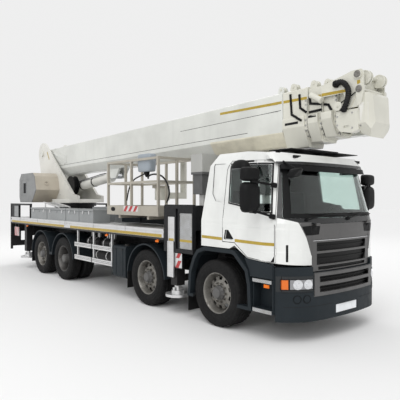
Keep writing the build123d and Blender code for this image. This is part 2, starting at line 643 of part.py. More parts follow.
def deck_boxes():
    """Lidded lockers along both edges of the deck and the low box amidships."""
    z0, z1 = DECK_Z[1] + SEAT, 1755.0
    y0, y1 = LOCKER_Y
    shapes = []
    for x0, x1 in LOCKERS:
        locker = block((x0 + 8, x1 - 8), (y0 + 10, y1), (z0, z1 - 30)) + block((x0, x1), (y0, y1), (z1 - 42, z1))
        locker += block((x0, x1), (y0, y1), (z0, z0 + 22))
        locker -= block((TURRET_X - 700, TURRET_X + 700), (-700, 0), (z0 - 1, z1 + 1))
        middle = (x0 + x1) / 2
        locker += block((middle - 60, middle + 60), (y0, y0 + 20), (z1 - 110, z1 - 70))
        shapes += both(locker).solids()
    spine = block((-5300, -4150), (-560, 560), (z0, 1790)) - block((-5200, -4250), (-460, 460), (1780, 1800))
    return Compound(children=shapes + [spine])


def side_tanks():
    """Fuel tank ahead of the guards and air tanks behind them, on both sides."""
    tank = block((-3155, -2640), (-HALF + 10, -RAIL_OUT - SEAT), (400, 1040))
    tank = fillet(tank.edges().filter_by(Axis.X), 50)
    for x in (-3040, -2780):
        tank += block((x, x + 40), (-HALF + 4, -HALF + 60), (455, 985))
    air_y = -HALF + 520
    air = bar((-4700, air_y, 760), (-3400, air_y, 760), 140.0)
    for x in (-4350, -3750):
        air += block((x, x + 100), (air_y, -RAIL_OUT - SEAT), (740, 900))
    return both(tank + air)


def side_guards():
    """Two aluminium rails on posts along each side, between the axles."""
    y = (-HALF, -HALF + 30)
    rails = block((-4912, -3160), y, (890, 985)) + block((-4912, -3160), y, (592, 692))
    for x in (-4800, -4020, -3220):
        rails += block((x - 22, x + 22), (-HALF + 25, -HALF + 60), (592, DECK_Z[0] - SEAT))
    return both(rails)


def rear_rack():
    """Tail frame with posts, end panels, marker boards, lamp bar and coupling plate."""
    tail = (TAIL_X, DECK_X[0] - SEAT)
    y = (-HALF, -HALF + 50)
    floor = DECK_Z[1] + SEAT
    top = 1860
    posts = block(tail, (-HALF, -HALF + 60), (470, top)) + block((TAIL_X, -7730), y, (top - 50, top))
    for x in (-7790, -8700):
        posts += block((x, x + 50), y, (floor, top))
    posts += block((TAIL_X, -8650), (-HALF + 8, -HALF + 24), (floor, top - 45))
    rack = both(posts) + block(tail, (-HALF, HALF), (560, 720))
    for bolt_y in (-TOW_Y / 2, TOW_Y / 2):
        for z in (TOW_MID - TOW_Z / 2, TOW_MID + TOW_Z / 2):
            rack -= disc((TAIL_X - 1, bolt_y, z), (1, 0, 0), TOW_R, 60)
    rack += both(block((DECK_X[0] - 1, RAIL_X[0] - SEAT), (-RAIL_OUT, -RAIL_OUT + RAIL_FLANGE), (RAIL_Z[0], 720)))
    rack += block(tail, (-HALF, HALF), (1000, 1250))
    rack += both(block((TAIL_X + 5, DECK_X[0] - SEAT), (-HALF + 40, -HALF + 300), (715, 1005)))
    return rack


def outrigger_box(jack_x, z0, x, top):
    """Fixed cross housing with a tunnel for each of its two beams."""
    half = JACK_Y - JACK_TUBE - RUN
    body = block(x, (-half, half), (z0 - 45, top))
    for jx in jack_x:
        body -= block((jx - BEAM_W / 2 - RUN, jx + BEAM_W / 2 + RUN), (-half - 1, half + 1), (z0 - SEAT, z0 + BEAM_H + RUN))
    return body


def outrigger_boxes():
    front = outrigger_box(FRONT_JACK_X, FRONT_BEAM_Z, (-1290, -600), 1460)
    front += both(block((-1290, -560), (-HALF + 90, -820), (1455, LOCKER_TOP)))
    pads = block((-1290, -600), (-RAIL_OUT, RAIL_OUT), (RAIL_Z[1] + SEAT, FRONT_BEAM_Z - 40))
    rear = outrigger_box(REAR_JACK_X, REAR_BEAM_Z, (-8570, -8100), DECK_Z[0] - SEAT)
    rear -= both(block((-8600, -8000), (-RAIL_OUT - SEAT, -RAIL_OUT + RAIL_FLANGE + SEAT), (900, RAIL_Z[1] + SEAT)))
    rear -= block((-8600, -8000), (-RAIL_OUT - 1, RAIL_OUT + 1), (900, RAIL_Z[1] + SEAT))
    return Compound(children=list((front + pads).solids()) + list(rear.solids()))


COVER_Y = (-HALF - 18.0, -JACK_Y - JACK_TUBE + 1.0)      # front outrigger's cover
COVER_Z = (1075.0, 1885.0)
COVER_BACK = 203.0                          # its edges behind and ahead of the right-hand jack
COVER_FRONT = 593.0


def outrigger_cover():
    """Cover on the beam's end: a channel for the jack tube beside a recessed tread plate."""
    y0, y1 = COVER_Y
    z0, z1 = COVER_Z
    cover = block((-COVER_BACK, COVER_FRONT), (y0, y1), (z0, z1))
    cover = fillet(cover.edges().filter_by(Axis.Y).sort_by(Axis.Z)[-2:], 40)
    cover -= block((-100, 110), (y0 - 1, y0 + 16), (1240, 1690))
    cover -= block((230, COVER_FRONT - 22), (y0 - 1, y0 + 14), (1140, 1745))
    cover -= block((135, 205), (y0 - 1, y0 + 30), (z0 + 60, z1 - 70))
    board = block((100, 290), (-HALF, -HALF + 8), (800, z0 + 1))
    return cover + board


def outrigger_beam(jack_x, z0, side, cover):
    """Sliding beam with its jack tube and, at the front, the outer cover."""
    half = JACK_TUBE
    top = z0 + BEAM_H
    beam = block((jack_x - BEAM_W / 2, jack_x + BEAM_W / 2), (-JACK_Y, JACK_Y - 120), (z0, top))
    beam -= block((jack_x - BEAM_W / 2 + 14, jack_x + BEAM_W / 2 - 14), (-JACK_Y, JACK_Y - 119), (z0 + 14, top - 14))
    beam += block((jack_x - half, jack_x + half), (-JACK_Y - half, -JACK_Y + half), (FOOT_Z + 190, top))
    if cover:
        beam += Pos(FRONT_JACK_X[0], 0, 0) * outrigger_cover()
    beam -= disc((jack_x, -JACK_Y, 0), (0, 0, 1), JACK_ROD_R + SEAT, top - 60)
    return handed(beam, side)


def jack(jack_x, side, z0):
    """Jack rod with its round foot."""
    rod = bar((jack_x, -JACK_Y, FOOT_Z + 30), (jack_x, -JACK_Y, z0 + BEAM_H - 65), JACK_ROD_R)
    foot = disc((jack_x, -JACK_Y, FOOT_Z), (0, 0, 1), FOOT_R, 45.0)
    foot += disc((jack_x, -JACK_Y, FOOT_Z), (0, 0, 1), 110.0, 100.0)
    foot += block((jack_x - 30, jack_x + 30), (-JACK_Y - 90, -JACK_Y + 90), (FOOT_Z + 90, FOOT_Z + 150))
    return handed(rod + foot, side)


def boom_rest():
    """Portal behind the cab that carries the stowed boom."""
    z0 = 1870 + SEAT
    post = block((-900, -600), (-955, -640), (2400, 2745)) + block((-870, -630), (-930, -660), (2060, 2400))
    post += block((-800, -690), (-850, -740), (z0, 2060))
    beam = block((-870, -640), (-700, 700), (2600, 2740))
    pad = block((-860, -650), (-240, 240), (2735, boom_keel_z(-860) - BELLY - RUN - 1))
    return both(post) + beam + pad


# ---------------------------------------------------------------- turret
def turret():
    """Slewing platform with two tapered cheeks that hold the boom foot."""
    z0 = SLEW_Z
    base = disc((TURRET_X, 0, z0), (0, 0, 1), SLEW_R + 20, PLATFORM_T)
    base += block((-8880, -6480), (-LEG_Y[1], LEG_Y[1]), (z0 + 15, z0 + PLATFORM_T))
    px, pz = PIVOT
    web = outline([(-8780, z0 + 20), (-6480, z0 + 20), (-6480, 2080), (-6790, 2130), (px + 250, pz + 215),
                   (px - 330, pz), (-9060, 2800)])
    cheek = side_prism(web, (-LEG_Y[1], -LEG_Y[0])) + disc((px, -LEG_Y[0], pz), (0, -1, 0), CHEEK_R, LEG_Y[1] - LEG_Y[0])
    cheek += disc((px, -LEG_Y[1] + 1, pz), (0, -1, 0), 95, 45)
    cheek -= disc((px, 0, pz), (0, -1, 0), PIVOT_R + 0.06, 600)
    lug = block((LIFT_FOOT[0] - 130, LIFT_FOOT[0] + 130), (-LEG_Y[0] - 5, -150), (z0 + 60, LIFT_FOOT[1] + 110))
    lug -= disc((LIFT_FOOT[0], 0, LIFT_FOOT[1]), (0, -1, 0), 45.06, 600)
    return base + both(cheek) + both(lug)


CABINET_Y = (-HALF + 120.0, -LEG_Y[1] - SEAT)


def turret_cabinet():
    """Faceted control station on the right of the turret, its front undercut for the feet."""
    z0 = SLEW_Z + 15
    face = [(-8880, z0), (-7960, z0), (-7640, 2255), (-7760, 2640), (-7900, 2740), (-8800, 2740), (-8950, 2560), (-8950, 2050)]
    body = side_prism(outline(face), CABINET_Y)
    body -= disc((TURRET_X, 0, SLEW_Z), (0, 0, 1), SLEW_R + 20 + SEAT, PLATFORM_T + SEAT)
    body -= Pos(-8300, CABINET_Y[0] - 130, 2850) * Rot(40, 0, 0) * Box(2000, 330, 330)
    body -= block((-8760, -8120), (CABINET_Y[0] - 1, CABINET_Y[0] + 8), (2080, 2560))
    hub = Plane((-7700, CABINET_Y[0] + 330, 2440), z_dir=(385, 0, 120))
    body += extrude(hub * (Circle(62) - Circle(40)), amount=22, both=True)
    return body


def hose_drum():
    x, z = -7080.0, 2370.0
    y = -LEG_Y[0] + SEAT
    drum = disc((x, y, z), (0, 1, 0), 190.0, 150.0)
    for start in (0, 130):
        flange = disc((x, y + start, z), (0, 1, 0), 270.0, 20.0)
        if start:
            flange -= disc((x, y + start + 8, z), (0, 1, 0), 240.0, 20.0) - disc((x, y + start, z), (0, 1, 0), 90.0, 20.0)
        drum += flange
    return drum


LIFT_RUN = hypot(LIFT_EYE[0] - LIFT_FOOT[0], LIFT_EYE[1] - LIFT_FOOT[1])
LIFT_TILT = degrees(atan2(LIFT_EYE[1] - LIFT_FOOT[1], LIFT_EYE[0] - LIFT_FOOT[0]))
LIFT = Pos(LIFT_FOOT[0], 0, LIFT_FOOT[1]) * Rot(0, -LIFT_TILT, 0)
BARREL_END = LIFT_RUN - 330.0


def lift_barrel():
    """Cylinder barrel, drawn along its own axis from the foot pin."""
    body = disc((60, 0, 0), (1, 0, 0), BARREL_R, BARREL_END - 60)
    body += disc((0, -140, 0), (0, 1, 0), 105.0, 280.0)
    body -= disc((250, 0, 0), (1, 0, 0), ROD_R + 18, BARREL_END)
    gland = disc((BARREL_END - 120, 0, 0), (1, 0, 0), BARREL_R + 12, 120.0)
    body += gland - disc((BARREL_END - 130, 0, 0), (1, 0, 0), ROD_R + SEAT, 140.0)
    pin = disc((0, -LEG_Y[0] + 10, 0), (0, 1, 0), 45.0, 2 * LEG_Y[0] - 20)
    return LIFT * (body + pin)


def lift_rod():
    """Chromed rod with its eye; the eye's pin stays inside the boom's fork."""
    rod = disc((300, 0, 0), (1, 0, 0), ROD_R, LIFT_RUN - 380)
    eye = disc((LIFT_RUN, -60, 0), (0, 1, 0), 100.0, 120.0)
    return LIFT * (rod + eye)


# ---------------------------------------------------------------- boom
LAST = SECTIONS - 1
COLLARS = (                                 # section, front of its collar, keel bulge, guide head's x
    (1, 9950.0, 95.0, 9640.0),
    (2, 10190.0, 60.0, 10020.0),
    (3, 10430.0, 35.0, 10260.0),
)
GUIDE_Y = (120.0, 215.0)                    # pairs of lugs that hold the guide rollers on top
GUIDE_R = 52.0
FRONT_GUIDE_X = 9390.0


def collar(index, x, bulge):
    """Stiffening ring round a section's front end, fuller at its keel, with a slot in its side."""
    inset = index * BOOM_STEP
    shoulder = BOOM_SIDE + 210
    low = outline([(-BOOM_HALF - 20, shoulder), (BOOM_HALF + 20, shoulder),
                   (BOOM_HALF + 20, BOOM_SIDE + 20 + inset), (BOOM_KEEL_HALF + 30, BOOM_KEEL - bulge + inset),
                   (-BOOM_KEEL_HALF - 30, BOOM_KEEL - bulge + inset),
                   (-BOOM_HALF - 20, BOOM_SIDE + 20 + inset)], 30.0)
    ring = front_prism(boom_face(inset - 24.0), x) + front_prism(low, (x[0], x[1] - 60))
    slot = block((x[0] + 40, x[1] - 130), (-BOOM_HALF - 40, -BOOM_HALF - 8), (-308, -248))
    ring -= fillet(slot.edges().filter_by(Axis.Y), 25)
    return ring - front_prism(boom_face(inset + BOOM_WALL), (x[0] - 1, x[1] + 1))


def guide_head(x, top):
    """Roller between two rounded lugs on both upper edges of a section."""
    head = None
    z = top + 66
    for y in GUIDE_Y:
        lug = disc((x, -y - 9, z), (0, 1, 0), GUIDE_R, 18) + block((x - 60, x + 60), (-y - 9, -y + 9), (top - 4, z - 10))
        head = lug if head is None else head + lug
    head += disc((x, -GUIDE_Y[1], z), (0, 1, 0), 34.0, GUIDE_Y[1] - GUIDE_Y[0])
    return both(head)


def foot_plate():
    """Ribbed stiffening plate on the boom's flank, slanting down from its foot."""
    plate = Pos(820, -BOOM_HALF - 1, -190) * Rot(0, 17, 0) * Box(1150, 20, 210)
    plate = fillet(plate.edges().filter_by(Axis.Y), 100)
    for offset_z in (-54, -18, 18, 54):
        plate += Pos(820, -BOOM_HALF - 12, -190) * Rot(0, 17, 0) * Pos(0, 0, offset_z) * Box(900, 10, 16)
    return plate


def boom_base():
    """Outer boom section with its foot, front reinforcement, lift fork and guide heads."""
    body = boom_tube(0, (BOOM_REAR, BOOM_MOUTH))
    body += front_prism(boom_face(BOOM_WALL), (BOOM_REAR, BOOM_REAR + 20))
    boss = disc((0, -LEG_Y[0] + RUN, 0), (0, 1, 0), 140.0, 2 * (LEG_Y[0] - RUN))
    body += boss & block((-200, 200), (-LEG_Y[0], LEG_Y[0]), (BOOM_KEEL, BOOM_TOP))
    body -= front_prism(boom_face(BOOM_WALL + 0.01), (200, BOOM_MOUTH + 1))
    body += disc((0, -LEG_Y[1] - 40, 0), (0, 1, 0), PIVOT_R, 2 * (LEG_Y[1] + 40))
    body += both(foot_plate() & block((0, 2000), (-LEG_Y[0] + RUN, -BOOM_HALF + 5), (-900, 200)))
    belly_x = boom_x(-1140)
    belly = front_prism(boom_face(-BELLY), (belly_x, BOOM_MOUTH)) - front_prism(boom_face(0.0), (belly_x - 60, BOOM_MOUTH + 1))
    body += belly & block((0, 12000), (-400, 400), (-900, BOOM_SIDE + 30))
    band = front_prism(boom_face(-6.0), (BOOM_MOUTH - 90, BOOM_MOUTH)) - front_prism(boom_face(0.0), (0, BOOM_MOUTH + 1))
    body += band
    body += guide_head(FRONT_GUIDE_X, BOOM_TOP)
    eye = BOOM.inverse() * Pos(LIFT_EYE[0], 0, LIFT_EYE[1])
    ex, ez = eye.position.X, eye.position.Z
    fork = side_prism(outline([(ex - 260, BOOM_KEEL + 5), (ex + 300, BOOM_KEEL + 5), (ex + 110, ez - 90),
                               (ex - 110, ez - 90)]), (-145, -95))
    body += both(fork)
    return BOOM * body


def boom_section(index):
    """Telescopic section with its front collar, guide head and the wear pads at its back."""
    inset = index * BOOM_STEP
    front = COLLARS[index - 1][1] if index < LAST else HEAD_BACK
    back = 260.0 + 60.0 * index
    body = boom_tube(index, (back, front))
    if index < LAST:
        start = BOOM_MOUTH if index == 1 else COLLARS[index - 2][1]
        body += collar(index, (start + RUN, front), COLLARS[index - 1][2])
        body += guide_head(COLLARS[index - 1][3], BOOM_TOP - inset + 24.0)
    gap = BOOM_STEP - BOOM_WALL
    body += block((back + 20, back + 220), (-75, 75), (BOOM_KEEL + inset - gap + SEAT, BOOM_KEEL + inset + 4))
    body += block((back + 20, back + 220), (-120, 120), (BOOM_TOP - inset - 4, BOOM_TOP - inset + gap - SEAT))
    return BOOM * body


HEAD_BACK = 10560.0                         # where the head is welded to the last section
HEAD_PINS = ((10800.0, 108.0), (10822.0, -98.0))
HEAD_PLATE = [(10190, -100), (10190, 70), (10420, 112), (10700, 178), (10845, 178), (10875, 120), (10875, -330),
              (10640, -330), (10560, -100)]
NOSE_BOX = [(10785, -150), (10930, -150), (10965, -190), (HEAD_NOSE, HEAD_TIP_Z), (10900, -745), (10785, -690)]
VALVE_BOX = [(10440, -350), (10785, -350), (10785, -640), (10690, -676), (10500, -640), (10440, -560)]


def boom_head():
    """Boom nose: side plates with pins and sheaves, faceted boxes and the jib's pivot housing."""
    inner = BOOM_HALF - LAST * BOOM_STEP
    core = block((HEAD_BACK + SEAT, 10780), (-inner, inner), (BOOM_KEEL + 150, BOOM_TOP - 20))
    plate = side_prism(outline(HEAD_PLATE, 14.0), (-BOOM_HALF - 4, -BOOM_HALF + 18))
    plate += block((10600, 10770), (-BOOM_HALF, -inner + 5), (-300, 60))
    for x, z in HEAD_PINS:
        plate += disc((x, -BOOM_HALF + 1, z), (0, -1, 0), 58.0, 40.0)
        plate += disc((x, -BOOM_HALF + 17, z), (0, 1, 0), 30.0, BOOM_HALF - 16)
    body = core + both(plate)
    nose = side_prism(outline(NOSE_BOX), (-BOOM_HALF, BOOM_HALF))
    nose &= front_prism(outline([(-BOOM_HALF, 0), (BOOM_HALF, 0), (BOOM_HALF, -560), (BOOM_HALF - 120, -760),
                                 (-BOOM_HALF + 120, -760), (-BOOM_HALF, -560)]), (10700, 11100))
    for side in (-1, 1):
        nose -= Pos(HEAD_NOSE + 20, side * (BOOM_HALF + 20), -330) * Rot(0, 0, side * 45) * Box(190, 190, 700)
    body += nose
    for y in (-BOOM_HALF + 60, -BOOM_HALF + 110, BOOM_HALF - 130, BOOM_HALF - 80):
        sheave = disc((10850, y, 70), (0, 1, 0), 95.0, 22.0) - (disc((10850, y - 1, 70), (0, 1, 0), 80, 6))
        body += sheave
    valve = side_prism(outline(VALVE_BOX), (-BOOM_HALF - 4, -inner - SEAT))
    valve += block((10600, 10770), (-inner - 1, -inner + 5), (-500, -350))
    body += valve - block((10560, 10640), (-BOOM_HALF - 5, -BOOM_HALF + 10), (-600, -565))
    lever = side_prism(outline([(10770, -60), (10850, -20), (10905, -60), (10850, -300), (10790, -330)], 18.0),
                       (-BOOM_HALF - 34, -BOOM_HALF - 3))
    body += lever
    hub = BOOM.inverse() * Pos(JIB_PIVOT[0], 0, JIB_PIVOT[1])
    hx, hz = hub.position.X, hub.position.Z
    body += disc((hx, inner + SEAT, hz), (0, 1, 0), 150.0, JIB_Y[0] - inner - SEAT - RUN)
    body += disc((hx, inner - 5, hz), (0, 1, 0), 70.0, JIB_Y[1] - inner + 5)
    return BOOM * body


def jib():
    """Jib along the boom's left side, from the head back to the cage."""
    hx, hz = JIB_PIVOT
    tx, tz = JIB_TIP
    run = hypot(tx - hx, tz - hz)
    tilt = degrees(atan2(hz - tz, hx - tx))
    y0, y1 = JIB_Y
    arm = block((150, run - 100), (y0 + 20, y1 - 20), (-110, 110)) - block((200, run - 150), (y0 + 32, y1 - 32), (-98, 98))
    head = disc((run, y0, 0), (0, 1, 0), 150.0, y1 - y0) + block((run - 260, run), (y0 + 10, y1 - 10), (-120, 120))
    tip = disc((0, y0 + 20, 0), (0, 1, 0), 110.0, y1 - y0 - 40) + block((0, 200), (y0 + 20, y1 - 20), (-95, 95))
    body = arm + head + tip
    body -= disc((run, y0 - 10, 0), (0, 1, 0), 70.06, 400)
    body -= disc((0, y0 - 10, 0), (0, 1, 0), 45.06, 400)
    return Pos(tx, 0, tz) * Rot(0, -tilt, 0) * body


def cage_mount():
    """Levelling arm at the jib's tip with the cage's swivel drive."""
    tx, tz = JIB_TIP
    y1 = JIB_Y[1] - 20
    arm = disc((tx, y1 + RUN, tz), (0, 1, 0), 100.0, 60.0) + block((tx - 80, tx + 80), (y1 + RUN, y1 + 65), (1990, tz))
    pin = disc((tx, JIB_Y[0] + 22, tz), (0, 1, 0), 45.0, y1 - JIB_Y[0] + 40)
    sx, sy = SWIVEL
    cross = block((tx - 80, tx + 80), (sy, y1 + 65), (1990, 2130))
    drive = disc((sx, sy, 1960), (0, 0, 1), 165.0, DRIVE_TOP - 1960)
    return arm + pin + cross + drive


def cage():
    """Welded work cage: floor, toe boards, posts and two rails."""
    x0, x1 = CAGE_X
    y0, y1 = CAGE_Y
    z0, z1 = CAGE_Z
    t = RAIL_T
    body = block((x0, x1), (y0, y1), (z0, z0 + 40))
    body += block((x0, x1), (y0, y1), (z0, z0 + 190)) - block((x0 + 12, x1 - 12), (y0 + 12, y1 - 12), (z0 - 1, z0 + 200))
    posts = [(x, y) for x in (x0, (x0 + x1 - t) / 2, x1 - t) for y in (y0, y1 - t)]
    posts += [(x1 - t, (y0 + y1 - t) / 2), (x0, (y0 + y1 - t) / 2)]
    for x, y in posts:
        body += block((x, x + t), (y, y + t), (z0, z1))
    for z in (z1 - t, (z0 + z1) / 2 + 70):
        ring = block((x0, x1), (y0, y1), (z, z + t)) - block((x0 + t, x1 - t), (y0 + t, y1 - t), (z - 1, z + t + 1))
        body += ring
    for x in (x0 + 420, x1 - 420):
        body += block((x - 35, x + 35), (y0 + 60, y1 - 60), (z0 - 70, z0 + 1))
    # hanger round the swivel drive
    sx, sy = SWIVEL
    body += block((sx - 110, sx + 110), (y1 - 10, sy + 120), (DRIVE_TOP + SEAT, DRIVE_TOP + 60))
    body += block((sx - 110, sx + 110), (y1 - 10, sy - 171), (DRIVE_TOP + SEAT, (z0 + z1) / 2 + 70 + t))
    return body


def cage_console():
    x0, x1 = -2560.0, -1980.0
    z = CAGE_Z[1]
    y = CAGE_Y[0]
    inner = y + RAIL_T + SEAT
    return block((x0 + 60, x1 - 60), (inner, inner + 200), (z - 260, z + 90))


# ---------------------------------------------------------------- small fittings
def lamps():
    """Headlamps round the bumper's corners, fog lamps and tail lamps."""
    face = plan_prism(bumper_plan(3.0), (LAMP_Z[0], LAMP_Z[1])) - plan_prism(bumper_plan(LAMP_DEEP - SEAT), (0, 1100))
    lamp = lamp_zone(0.0) & face
    lamp -= block((STEP_X[1] + 70, STEP_X[1] + 76), (-HALF - 50, -900), (0, 1100)) & (
        plan_prism(bumper_plan(-50.0), (0, 1100)) - plan_prism(bumper_plan(14.0), (0, 1100)))
    tail = block((REAR_X, TAIL_X - SEAT), (-HALF + 60, -HALF + 420), (590, 690))
    return both(lamp + tail)


def rounded(x, y, z, radius):
    """Box with all of its edges rounded."""
    shape = block(x, y, z)
    return fillet(shape.edges(), radius)


def mirrors(side):
    """Main, wide-angle and kerb mirrors on arms from the door's front edge."""
    y0 = -HALF - 420
    main = rounded((960, 1065), (y0, y0 + 235), (1795, 2150), 34.0)
    wide = rounded((970, 1070), (y0 + 5, y0 + 225), (2172, 2335), 38.0)
    link = block((1000, 1030), (y0 + 95, y0 + 130), (2140, 2180))
    arms = bar((1098, -HALF + 118, 2150), (1015, y0 + 150, 2162), 17.0)
    arms += bar((1140, -HALF + 92, 1745), (1015, y0 + 150, 1822), 17.0)
    kerb = rounded((420, 640), (-HALF - 250, -HALF - 60), (2440, 2510), 30.0)
    kerb += bar((560, -HALF + 170, 2525), (540, -HALF - 110, 2480), 14.0)
    return handed((main + wide + link + arms + kerb) - cab_block(-SEAT), side)


# ---------------------------------------------------------------- build all nodes
SIDES = (("right", -1), ("left", 1))


def build():
    outer, inner = cab_forms()
    export(chassis_frame(), "chassis_frame")
    export(axles(), "axles")
    export(engine_block(), "engine_block")
    export(cab_shell(outer, inner), "cab_shell")
    export(windscreen(outer), "windscreen")
    export(cab_interior(), "cab_interior")
    export(front_panel(outer), "front_panel")
    export(roof_trim(outer), "sun_visor")
    export(bumper(), "bumper")
    export(lamps(), "lamps")
    export(mudguards(), "mudguards")
    export(deck(), "deck")
    export(slew_base(), "slew_base")
    export(deck_boxes(), "deck_boxes")
    export(side_tanks(), "side_tanks")
    export(side_guards(), "side_guards")
    export(rear_rack(), "rear_rack")
    export(outrigger_boxes(), "outrigger_boxes")
    export(boom_rest(), "boom_rest")
    export(turret(), "turret")
    export(turret_cabinet(), "turret_cabinet")
    export(hose_drum(), "hose_drum")
    export(lift_barrel(), "lift_barrel")
    export(lift_rod(), "lift_rod")
    export(boom_base(), "boom_base")
    for index in range(1, SECTIONS):
        export(boom_section(index), f"boom_section_{index}")
    export(boom_head(), "boom_head")
    export(jib(), "jib")
    export(cage_mount(), "cage_mount")
    export(cage(), "cage")
    export(cage_console(), "cage_console")
    for name, side in SIDES:
        export(door(outer, inner, side), f"door_{name}")
        export(door_glass(outer, side), f"door_glass_{name}")
        export(mirrors(side), f"mirrors_{name}")
        for number in range(4):
            export(wheel(number, side), f"wheel_{number + 1}_{name}")
        for number in range(2):
            export(knuckle(number, side), f"knuckle_{number + 1}_{name}")
        which = 0 if side < 0 else 1
        for place, jacks, z0 in (("front", FRONT_JACK_X, FRONT_BEAM_Z), ("rear", REAR_JACK_X, REAR_BEAM_Z)):
            beam = outrigger_beam(jacks[which], z0, side, place == "front")
            export(beam, f"outrigger_{place}_{name}")
            export(jack(jacks[which], side, z0), f"jack_{place}_{name}")


build()
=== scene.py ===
"""Truck-mounted aerial platform: finishes, wheels, trim, hoses, camera and light.

Lengths are metres.  at(x, y, z) takes x from the front axle, forward, as part.py does.
"""
from math import cos, pi, radians, sin

import bmesh
import bpy
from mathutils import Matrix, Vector
from mathutils.bvhtree import BVHTree


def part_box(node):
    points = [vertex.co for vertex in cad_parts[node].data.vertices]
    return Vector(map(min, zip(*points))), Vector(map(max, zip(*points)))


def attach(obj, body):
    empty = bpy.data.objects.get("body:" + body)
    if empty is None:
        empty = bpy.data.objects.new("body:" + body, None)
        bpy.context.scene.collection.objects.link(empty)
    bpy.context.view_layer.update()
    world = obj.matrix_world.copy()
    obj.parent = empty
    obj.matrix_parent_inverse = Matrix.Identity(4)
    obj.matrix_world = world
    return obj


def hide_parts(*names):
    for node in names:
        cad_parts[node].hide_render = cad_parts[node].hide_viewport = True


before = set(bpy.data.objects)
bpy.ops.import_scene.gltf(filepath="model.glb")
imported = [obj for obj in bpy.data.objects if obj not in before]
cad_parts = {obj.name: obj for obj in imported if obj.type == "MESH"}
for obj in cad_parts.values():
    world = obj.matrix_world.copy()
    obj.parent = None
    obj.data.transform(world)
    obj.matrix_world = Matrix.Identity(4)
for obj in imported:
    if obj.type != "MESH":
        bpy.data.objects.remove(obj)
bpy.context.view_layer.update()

RIGHT, LEFT = -1, 1
SIDES = (("right", RIGHT), ("left", LEFT))
INWARD = {RIGHT: Vector((0, 1, 0)), LEFT: Vector((0, -1, 0))}
BACK = Vector((-1, 0, 0))
DOWN = Vector((0, 0, -1))
UP = Vector((0, 0, 1))
BOOM_PITCH = radians(0.9)
BOOM_PIVOT = (-8.9, 3.4)                      # boom foot pin, x from the front axle and z
SIDE_Y, FRONT_X, BOOM_Y = 1.3, 1.6, 0.5       # planes just outside the body, the cab's front and the boom


def node_box(node):
    """Lowest and highest corner of a CAD node at rest, as vectors."""
    low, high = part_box(node)
    return Vector(low), Vector(high)


def middle(node):
    low, high = node_box(node)
    return (low + high) / 2


FRONT_AXLE = middle("wheel_1_right").x


def at(x, y, z):
    """Place from x ahead of the front axle, y to the left and z above the ground."""
    return Vector((FRONT_AXLE + x, y, z))


def on_boom(along, y, above):
    """Place given along the stowed boom from its foot pin, and above the pin's line."""
    x = BOOM_PIVOT[0] + along * cos(BOOM_PITCH) - above * sin(BOOM_PITCH)
    z = BOOM_PIVOT[1] + along * sin(BOOM_PITCH) + above * cos(BOOM_PITCH)
    return at(x, y, z)


def circle(radius, angle):
    """Offset in a lengthways upright plane."""
    return Vector((radius * cos(angle), 0, radius * sin(angle)))


# ------------------------------------------------------------------ shader helpers
def new_material(name):
    """Fresh material with its node tree and shader."""
    material = bpy.data.materials.new(name)
    material.use_nodes = True
    tree = material.node_tree
    return material, tree, tree.nodes["Principled BSDF"]


def copied(name, source):
    """Tree and shader of a finish's copy, which is kept under the new name."""
    material = M[source].copy()
    material.name = name
    M[name] = material
    return material.node_tree, material.node_tree.nodes["Principled BSDF"]


def add(tree, kind, **settings):
    """New shader node with settings given by name."""
    node = tree.nodes.new(kind)
    for key, value in settings.items():
        setattr(node, key, value)
    return node


def feed(tree, socket, value):
    """Link a socket, or set a number or colour on it."""
    if isinstance(value, bpy.types.NodeSocket):
        tree.links.new(value, socket)
    else:
        socket.default_value = value


def maths(tree, operation, *values):
    """Output of a maths node fed with sockets or numbers."""
    node = add(tree, "ShaderNodeMath", operation=operation)
    for socket, value in zip(node.inputs, values):
        feed(tree, socket, value)
    return node.outputs[0]


def multiply(tree, first, second):
    return maths(tree, "MULTIPLY", first, second)


def parts(tree, vector):
    """X, Y and Z outputs of a vector."""
    split = add(tree, "ShaderNodeSeparateXYZ")
    tree.links.new(vector, split.inputs["Vector"])
    return split.outputs


def object_point(tree, scale=(1.0, 1.0, 1.0)):
    """Place on the object in metres, stretched by scale."""
    coordinate = add(tree, "ShaderNodeTexCoord")
    mapping = add(tree, "ShaderNodeMapping")
    mapping.inputs["Scale"].default_value = scale
    tree.links.new(coordinate.outputs["Object"], mapping.inputs["Vector"])
    return mapping.outputs["Vector"]


def noise(tree, vector, scale, detail=4.0, roughness=0.55):
    node = add(tree, "ShaderNodeTexNoise")
    for key, value in (("Scale", scale), ("Detail", detail), ("Roughness", roughness), ("Vector", vector)):
        feed(tree, node.inputs[key], value)
    return node.outputs["Fac"]


def remap(tree, value, low, high, out_low=0.0, out_high=1.0):
    """Value stretched from one range to another and held inside it."""
    node = add(tree, "ShaderNodeMapRange")
    keys = ("Value", "From Min", "From Max", "To Min", "To Max")
    for key, number in zip(keys, (value, low, high, out_low, out_high)):
        feed(tree, node.inputs[key], number)
    return node.outputs["Result"]


def blend_colour(tree, factor, first, second):
    """Mix of two colours; each is an RGB triple or a socket."""
    node = add(tree, "ShaderNodeMix", data_type="RGBA")
    tree.links.new(factor, node.inputs["Factor"])
    for socket, colour in ((node.inputs[6], first), (node.inputs[7], second)):
        feed(tree, socket, (*colour, 1.0) if isinstance(colour, tuple) else colour)
    return node.outputs[2]


def blend_value(tree, factor, first, second):
    """Mix of two numbers; each may be a socket."""
    node = add(tree, "ShaderNodeMix", data_type="FLOAT")
    for socket, value in ((node.inputs["Factor"], factor), (node.inputs[2], first), (node.inputs[3], second)):
        feed(tree, socket, value)
    return node.outputs[0]


def source_of(socket):
    """What feeds a socket: the socket linked to it, or its own value."""
    return socket.links[0].from_socket if socket.links else socket.default_value


def shade(colour, share):
    """Darker tone of a colour."""
    return tuple(c * share for c in colour)


